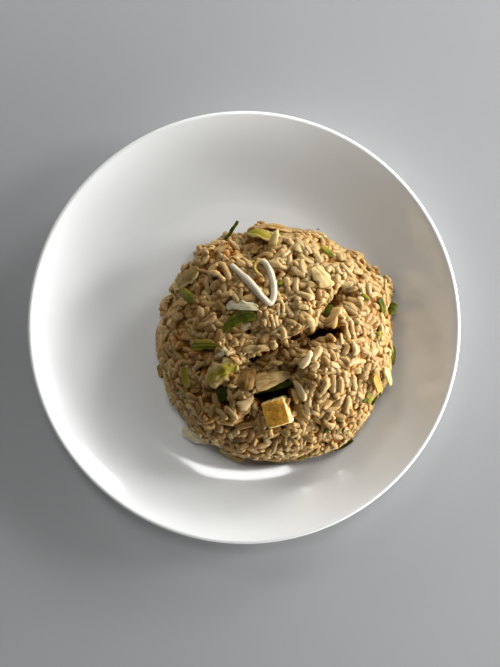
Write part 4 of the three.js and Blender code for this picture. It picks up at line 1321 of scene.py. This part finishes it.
def fitted(node, wide):
    """A thin solid's middle, axes, half length and width, sideways bend and middle surface."""
    solid = merged_points(node)
    middle, axes = own_axes(solid, unit(solid.mean(axis=0) - HEAP_MIDDLE))
    local = (solid - middle) @ axes.T
    lows, highs = local.min(axis=0), local.max(axis=0)
    middle = middle + 0.5 * (lows + highs)[:2] @ axes[:2]
    local = (solid - middle) @ axes.T
    half_length, half_width = np.abs(local[:, :2]).max(axis=0)
    a, b = local[:, 0] / half_length, local[:, 1]
    bend = np.polyfit(a, b, 2)
    half_width = wide * max(half_width - abs(bend[0]) * 0.6, 0.6 * half_width)
    b = (b - np.polyval(bend, a)) / half_width
    terms = np.stack([np.ones(len(a)), a, b, a * a, a * b, b * b], axis=1)
    surface = np.linalg.lstsq(terms, local[:, 2], rcond=None)[0]
    return middle, axes, half_length, half_width, bend, surface


def with_relief(height, u, v, spots, traits, seed):
    """A thin piece's middle surface with its ribs, waves, curled edges and lifted start."""
    rng = np.random.default_rng(seed)
    edge = np.abs(v) ** 3
    fan = np.pi * traits["ribs"] * v * (1 - 0.25 * u) + 0.8 * np.sin(2.3 * u + rng.uniform(0, 6))
    ribs = 0.6 * np.sin(fan + rng.uniform(0, 6)) + 0.4 * np.sin(1.7 * fan + rng.uniform(0, 6))
    height = height + traits["rib_height"] * ribs * (1 - 0.5 * edge)
    height += traits["wave"] * ripple(spots, 5.5, seed + 30) * (0.4 + 0.6 * edge)
    height += traits["curl"] * edge * ripple(spots, 7.0, seed + 40)
    height -= traits["cup"] * v * v
    height += traits["proud"] + traits["lift"] * ((1 - u) / 2) ** 2
    return height


def shades_of(u, v, shade):
    """A thin piece's shade at each vertex, from those at its start, end and edges."""
    start, end, rim, *other_rim = shade
    blend = (u + 1) / 2
    edge = np.abs(v) ** 3
    rims = np.where(v > 0, other_rim[0] if other_rim else rim, rim)
    return (start + (end - start) * blend) * (1 - edge) + rims * edge


def sheet_piece(node, material, seed, steps_along=30, steps_across=14):
    """A thin piece with cut ends, ribs and a wavy edge, on the middle surface of its CAD node."""
    traits = {**PLAIN_SHEET, **SHEETS[node]}
    middle, axes, half_length, half_width, bend, surface = fitted(node, traits["wide"])
    bm = bmesh.new()
    bmesh.ops.create_grid(bm, x_segments=steps_along, y_segments=steps_across, size=1)
    for title in ("along", "across", "shade"):
        bm.verts.layers.float.new(title)
    u, v = points_of(bm)[:, :2].T
    square = np.where(u < 0, *traits["square"])
    outline = np.clip(1 - np.abs(u) ** (1.15 * square), 0, 1) ** (1 / 2.2)
    outline = np.maximum(outline, 0.12) * (1 - traits["taper"] * (u + 1) / 2)
    spots = np.stack([u * half_length, v * half_width, np.full(len(u), 3.0 * seed)], axis=1)
    ragged = 1 + traits["ragged"] * ripple(spots, 3.5, seed + 60)
    across = v * outline * ragged + traits["slant"] * u
    height = surface @ np.stack([np.ones(len(u)), u, across, u * u, u * across, across * across])
    height = with_relief(height, u, v, spots, traits, seed)
    along = u * (half_length * traits["long"])
    local = np.stack([along, np.polyval(bend, u) + across * half_width, height], axis=1)
    move_to(bm, middle + local @ axes)
    for title, values in (("along", u), ("across", v), ("shade", shades_of(u, v, traits["shade"]))):
        layer = bm.verts.layers.float[title]
        for vert, value in zip(bm.verts, values):
            vert[layer] = value
    bm.normal_update()
    if sum(face.normal.dot(Vector(axes[2])) for face in bm.faces) < 0:
        bmesh.ops.reverse_faces(bm, faces=bm.faces)
    thick = traits["thick"] * MM
    bmesh.ops.translate(bm, verts=bm.verts, vec=Vector(axes[2]) * 0.5 * thick)
    bmesh.ops.solidify(bm, geom=bm.faces[:], thickness=thick)
    piece = object_from(f"{node}_cooked", bm, material)
    finer = piece.modifiers.new("Finer", "SUBSURF")
    finer.levels = finer.render_levels = 1
    return piece


class FRIEDRICE_OT_leaves(bpy.types.Operator):
    """Makes the cabbage, onion and spring onion"""

    bl_idname = "fried_rice.make_leaves"
    bl_label = "Make leaves"

    def execute(self, context):
        settings = context.scene.dish.toppings
        materials = {
            kind: leaf_material(kind, settings, brown, settings.cream) for kind, brown in LEAF_BROWNS.items()
        }
        whitish = leaf_material("heart", settings, LEAF_BROWNS["cabbage"], settings.white)
        for seed, (node, traits) in enumerate(SHEETS.items()):
            kind = traits["slot"]
            if kind in materials:
                material = whitish if traits.get("whitish") else materials[kind]
                dress(sheet_piece(node, material, seed), kind, node)
        dress(green_flecks(materials["scallion"]), "scallion", "rice_mound")
        return {"FINISHED"}


# Bits of green leaf stuck to the grains: azimuth and elevation on the heap, heading, length, width
# and shade.
FLECKS = (
    (300, 36, 30, 3.6, 2.0, 1.0), (328, 31, 10, 4.0, 2.0, 0.9), (335, 19, 80, 3.6, 2.0, 1.0),
    (28, 34, -40, 4.5, 2.4, 0.6), (5, 30, 70, 4.5, 2.2, 0.5), (197, 22, -60, 4.0, 2.4, 0.7),
    (85, 55, 20, 4.4, 2.4, 0.5), (283, 15, 5, 4.0, 2.4, 0.6), (309, 37, -20, 2.4, 1.4, 1.0),
    (308, 30, 60, 2.6, 1.5, 1.0), (336, 36.5, 35, 2.2, 1.4, 0.95), (6, 31.5, -50, 2.8, 1.5, 0.85),
    (341, 26, 15, 2.4, 1.5, 1.0), (205, 29, 40, 2.6, 1.5, 0.9), (184, 28.5, -30, 2.8, 1.6, 0.85),
)


def fleck_template():
    """A bit of leaf about one unit in radius, bent over its middle: its vertices and faces."""
    bm = bmesh.new()
    bmesh.ops.create_grid(bm, x_segments=4, y_segments=2, size=1)
    for vert in bm.verts:
        x, y, _ = vert.co
        vert.co = Vector((x + 0.12 * y, y * (1 - 0.45 * x * x), 0.25 * x * x - 0.3 * y * y))
    bmesh.ops.solidify(bm, geom=bm.faces[:], thickness=0.4)
    bmesh.ops.triangulate(bm, faces=bm.faces)
    points, faces = points_of(bm), faces_of(bm)
    bm.free()
    return points, faces


def green_flecks(material):
    table = np.array(FLECKS)
    direction = on_sphere(table[:, :2])
    normal = heap_normal(direction)
    frames = standing_frames(along_surface(table[:, 2], normal), normal, np.random.default_rng(9), 0.15)
    centre = HEAP_MIDDLE + direction * (moulded_reach(direction) + 0.5)[:, None]
    template, faces = fleck_template()
    sizes = 0.5 * np.stack([table[:, 3], table[:, 4], table[:, 4]], axis=1)
    points = copies_of(template[None], np.zeros(len(table), dtype=int), centre, frames, sizes)
    marks = {"along": template[None, :, 0], "across": template[None, :, 1], "shade": table[:, 5:6]}
    return mesh_of_copies("green_flecks", points, faces, material, marks)


STALK_RADIUS = 2.5


class FRIEDRICE_OT_stalk(bpy.types.Operator):
    """Makes the round of spring onion stalk"""

    bl_idname = "fried_rice.make_stalk"
    bl_label = "Make stalk"

    def execute(self, context):
        bm, points, normals = finer_copy("scallion_knob", 2)
        points += normals * (0.15 + 0.22 * ripple(points, 2.6, 8))[:, None]
        move_to(bm, points)
        stalk = object_from("scallion_knob_cooked", bm, bpy.data.materials["cooked_scallion"])
        local = points - points.mean(axis=0)
        add_attribute(stalk.data, "along", local[:, 1] / STALK_RADIUS)
        add_attribute(stalk.data, "across", local[:, 0] / STALK_RADIUS)
        add_attribute(stalk.data, "shade", 0.82 + 0.03 * local[:, 1])
        dress(stalk, "scallion", "scallion_knob")
        return {"FINISHED"}


class FRIEDRICE_OT_egg(bpy.types.Operator):
    """Makes the shreds of fried egg"""

    bl_idname = "fried_rice.make_egg"
    bl_label = "Make egg"

    def execute(self, context):
        material = egg_material(context.scene.dish.toppings)
        for seed, (node, traits) in enumerate(SHEETS.items()):
            if traits["slot"] == "fried_egg":
                dress(sheet_piece(node, material, seed), "fried_egg", node)
        return {"FINISHED"}


# ---- Bean sprout ----


ROOT_YELLOW = (0.66, 0.47, 0.13)


def sprout_material(settings):
    material, tree, shader = new_material("bean_sprout")
    vein = scaled(settings.sprout, 0.72)
    skin = mottled(tree, scale=260.0, contrast=0.25, light=settings.sprout, dark=vein)
    skin = mixed(tree, remapped(tree, attribute(tree, "thin"), 0.3, 0.9), skin, ROOT_YELLOW)
    feed(tree, shader, {"Base Color": skin, "Specular IOR Level": 0.2})
    set_moist(tree, shader, scale=240.0, wet=0.2, dry=0.45, distance=0.00008, strength=0.6)
    set_flesh(tree, shader, weight=0.5, reach=0.002, tint=(1.0, 0.9, 0.7))
    return material


# The sprout's thin root and the middle of its thickest leg, as azimuths and elevations on the heap.
ROOT = ((104, 43.3), (106, 45.5), (105, 49), (102, 52))
THICKEST = ((116, 54.5),)
SPROUT_RISE = 0.8  # its middle line over the grains
THIN_WITHIN = (1.3, 3.6)  # of the root's line
THICK_WITHIN = 8


class FRIEDRICE_OT_sprout(bpy.types.Operator):
    """Makes the bean sprout"""

    bl_idname = "fried_rice.make_sprout"
    bl_label = "Make sprout"

    def execute(self, context):
        bm, points, normals = finer_copy("bean_sprout", 2, rounding=0.5, passes=3)
        way = on_sphere(ROOT)
        root = HEAP_MIDDLE + way * (heap_reach(way, GRAIN_COVER) + SPROUT_RISE)[:, None]
        away = np.full(len(points), np.inf)
        for start, end in zip(root, root[1:]):
            for share in np.linspace(0, 1, 8):
                spot = start + share * (end - start)
                away = np.minimum(away, np.linalg.norm(points - spot, axis=1))
        thin = 1 - smoothstep(away, *THIN_WITHIN)
        way = on_sphere(THICKEST)
        middle = HEAP_MIDDLE + way[0] * (heap_reach(way, GRAIN_COVER) + SPROUT_RISE)
        thick = np.exp(-(np.linalg.norm(points - middle, axis=1) / THICK_WITHIN) ** 2)
        swell = 0.42 - 0.36 * thin + 0.25 * thick + 0.09 * ripple(points, 4.0, 71)
        points += normals * swell[:, None]
        move_to(bm, points)
        sprout = object_from("bean_sprout_fresh", bm, sprout_material(context.scene.dish.toppings))
        add_attribute(sprout.data, "thin", thin)
        dress(sprout, "bean_sprout", "bean_sprout")
        return {"FINISHED"}


# ---- Tofu ----


TOFU_SPOTS = (0.46, 0.17, 0.018)
# Painted light: the tofu's sides are paler than its top, for the low window that lights them.
TOFU_LIT_SIDES = (0.90, 0.68, 0.27)


def tofu_material(settings):
    material, tree, shader = new_material("fried_tofu")
    skin = mottled(tree, scale=240.0, contrast=0.2, light=settings.tofu, dark=TOFU_SPOTS, bias=-0.03)
    # cut marks the sides, which get the painted light.
    feed(tree, shader, {"Base Color": mixed(tree, attribute(tree, "cut"), skin, TOFU_LIT_SIDES)})
    set_moist(tree, shader, scale=300.0, wet=0.25, dry=0.55, distance=0.0003, strength=0.9)
    set_flesh(tree, shader, weight=0.3, reach=0.002)
    return material


class FRIEDRICE_OT_tofu(bpy.types.Operator):
    """Makes the block of fried tofu"""

    bl_idname = "fried_rice.make_tofu"
    bl_label = "Make tofu"

    def execute(self, context):
        bm, points, normals = finer_copy("tofu_cube", 4, rounding=0.4, passes=2)
        rough = 0.16 * ripple(points, 2.4, 5) + 0.07 * ripple(points, 1.1, 6)
        points += normals * (0.1 + rough)[:, None]
        move_to(bm, points)
        tofu = object_from("tofu_fried", bm, tofu_material(context.scene.dish.toppings))
        top = unit(normals[normals[:, 2] > 0.75].sum(axis=0))
        # cut: 1 on the sides, where painted light goes, and 0 on the top
        add_attribute(tofu.data, "cut", 1 - smoothstep(normals @ top, 0.6, 0.97))
        dress(tofu, "fried_tofu", "tofu_cube")
        return {"FINISHED"}


# ---- Stage ----


# Panes of light round the plate: azimuth and elevation in degrees, and share of the power.
WINDOW_PANES = ((-45, 7, 13), (-15, 7, 14), (15, 7, 17), (45, 7, 10), (75, 8, 4))
SKY_PANES = ((15, 24, 5), (45, 24, 4), (90, 72, 2.5), (120, 45, 1.5), (150, 24, 1.5))
WINDOW_SIZE = (0.6, 0.45)
SKY_SIZE = (0.3, 0.22)
PANE_DISTANCE = 1.3
ROOM_COLOUR = (0.004, 0.004, 0.004)
SENSOR_WIDTH = 36.0


def area_light(name, power, size, azimuth, elevation):
    """A lit pane at some distance from the plate, facing it. Angles are in degrees."""
    data = bpy.data.lights.new(name, "AREA")
    data.energy = power
    data.shape = "RECTANGLE"
    data.size, data.size_y = size
    lamp = in_scene(name, data)
    turn, rise = math.radians(azimuth), math.radians(elevation)
    towards = Vector((math.cos(rise) * math.cos(turn), math.cos(rise) * math.sin(turn), math.sin(rise)))
    lamp.location = towards * PANE_DISTANCE
    lamp.rotation_euler = towards.to_track_quat("Z", "Y").to_euler()
    lamp.visible_camera = False


class FRIEDRICE_OT_stage(bpy.types.Operator):
    """Makes the camera, the lights and the floor"""

    bl_idname = "fried_rice.make_stage"
    bl_label = "Make stage"

    def execute(self, context):
        scene = context.scene
        settings = scene.dish.stage
        camera = in_scene("camera", bpy.data.cameras.new("camera"))
        camera.data.sensor_width = SENSOR_WIDTH
        camera.data.lens = settings.lens
        camera.location = (settings.camera_side, -settings.camera_side, settings.camera_height)
        scene.camera = camera
        for name, power, size, panes in (
            ("window", settings.window_power, WINDOW_SIZE, WINDOW_PANES),
            ("sky", settings.sky_power, SKY_SIZE, SKY_PANES),
        ):
            whole = sum(share for _, _, share in panes)
            for azimuth, elevation, share in panes:
                area_light(name, power * share / whole, size, azimuth, elevation)
        world = bpy.data.worlds.new("room")
        world.use_nodes = True
        world.node_tree.nodes["Background"].inputs["Color"].default_value = (*ROOM_COLOUR, 1)
        scene.world = world
        scene.view_settings.view_transform = "Standard"
        bm = bmesh.new()
        bmesh.ops.create_grid(bm, x_segments=2, y_segments=2, size=1.5)
        material, tree, shader = new_material("table_top")
        darker = scaled(settings.floor, 0.97)
        skin = mottled(tree, scale=30.0, contrast=0.4, light=settings.floor, dark=darker)
        feed(tree, shader, {"Base Color": skin, "Roughness": 0.6})
        object_from("table_top", bm, material, smooth=False)
        return {"FINISHED"}


# ---- Panel and running ----


class FRIEDRICE_PT_panel(bpy.types.Panel):
    """Lists the pieces and their settings"""

    bl_idname = "FRIEDRICE_PT_panel"
    bl_label = "Fried rice plate"
    bl_space_type = "VIEW_3D"
    bl_region_type = "UI"
    bl_category = "Fried rice"

    def draw(self, context):
        dish = context.scene.dish
        for settings, makers in (
            (dish.plate, (FRIEDRICE_OT_plate, FRIEDRICE_OT_specks)),
            (dish.rice, (FRIEDRICE_OT_rice,)),
            (dish.toppings, TOPPING_MAKERS),
            (dish.stage, (FRIEDRICE_OT_stage,)),
        ):
            box = self.layout.box()
            for name in type(settings).__annotations__:
                box.prop(settings, name)
            for maker in makers:
                box.operator(maker.bl_idname)


SETTINGS = (PlateSettings, RiceSettings, ToppingSettings, StageSettings, DishSettings)
TOPPING_MAKERS = (
    FRIEDRICE_OT_leaves,
    FRIEDRICE_OT_stalk,
    FRIEDRICE_OT_egg,
    FRIEDRICE_OT_sprout,
    FRIEDRICE_OT_tofu,
)
MAKERS = (
    FRIEDRICE_OT_stage,
    FRIEDRICE_OT_plate,
    FRIEDRICE_OT_specks,
    FRIEDRICE_OT_rice,
    *TOPPING_MAKERS,
)


def register():
    for group in (*SETTINGS, *MAKERS, FRIEDRICE_PT_panel):
        bpy.utils.register_class(group)
    bpy.types.Scene.dish = bpy.props.PointerProperty(type=DishSettings)


def unregister():
    del bpy.types.Scene.dish
    for group in reversed((*SETTINGS, *MAKERS, FRIEDRICE_PT_panel)):
        bpy.utils.unregister_class(group)


def main():
    register()
    bpy.ops.fried_rice.make_stage()
    bpy.ops.fried_rice.make_plate()
    bpy.ops.fried_rice.make_specks()
    bpy.ops.fried_rice.make_rice()
    bpy.ops.fried_rice.make_leaves()
    bpy.ops.fried_rice.make_stalk()
    bpy.ops.fried_rice.make_egg()
    bpy.ops.fried_rice.make_sprout()
    bpy.ops.fried_rice.make_tofu()


if __name__ == "__main__":
    main()
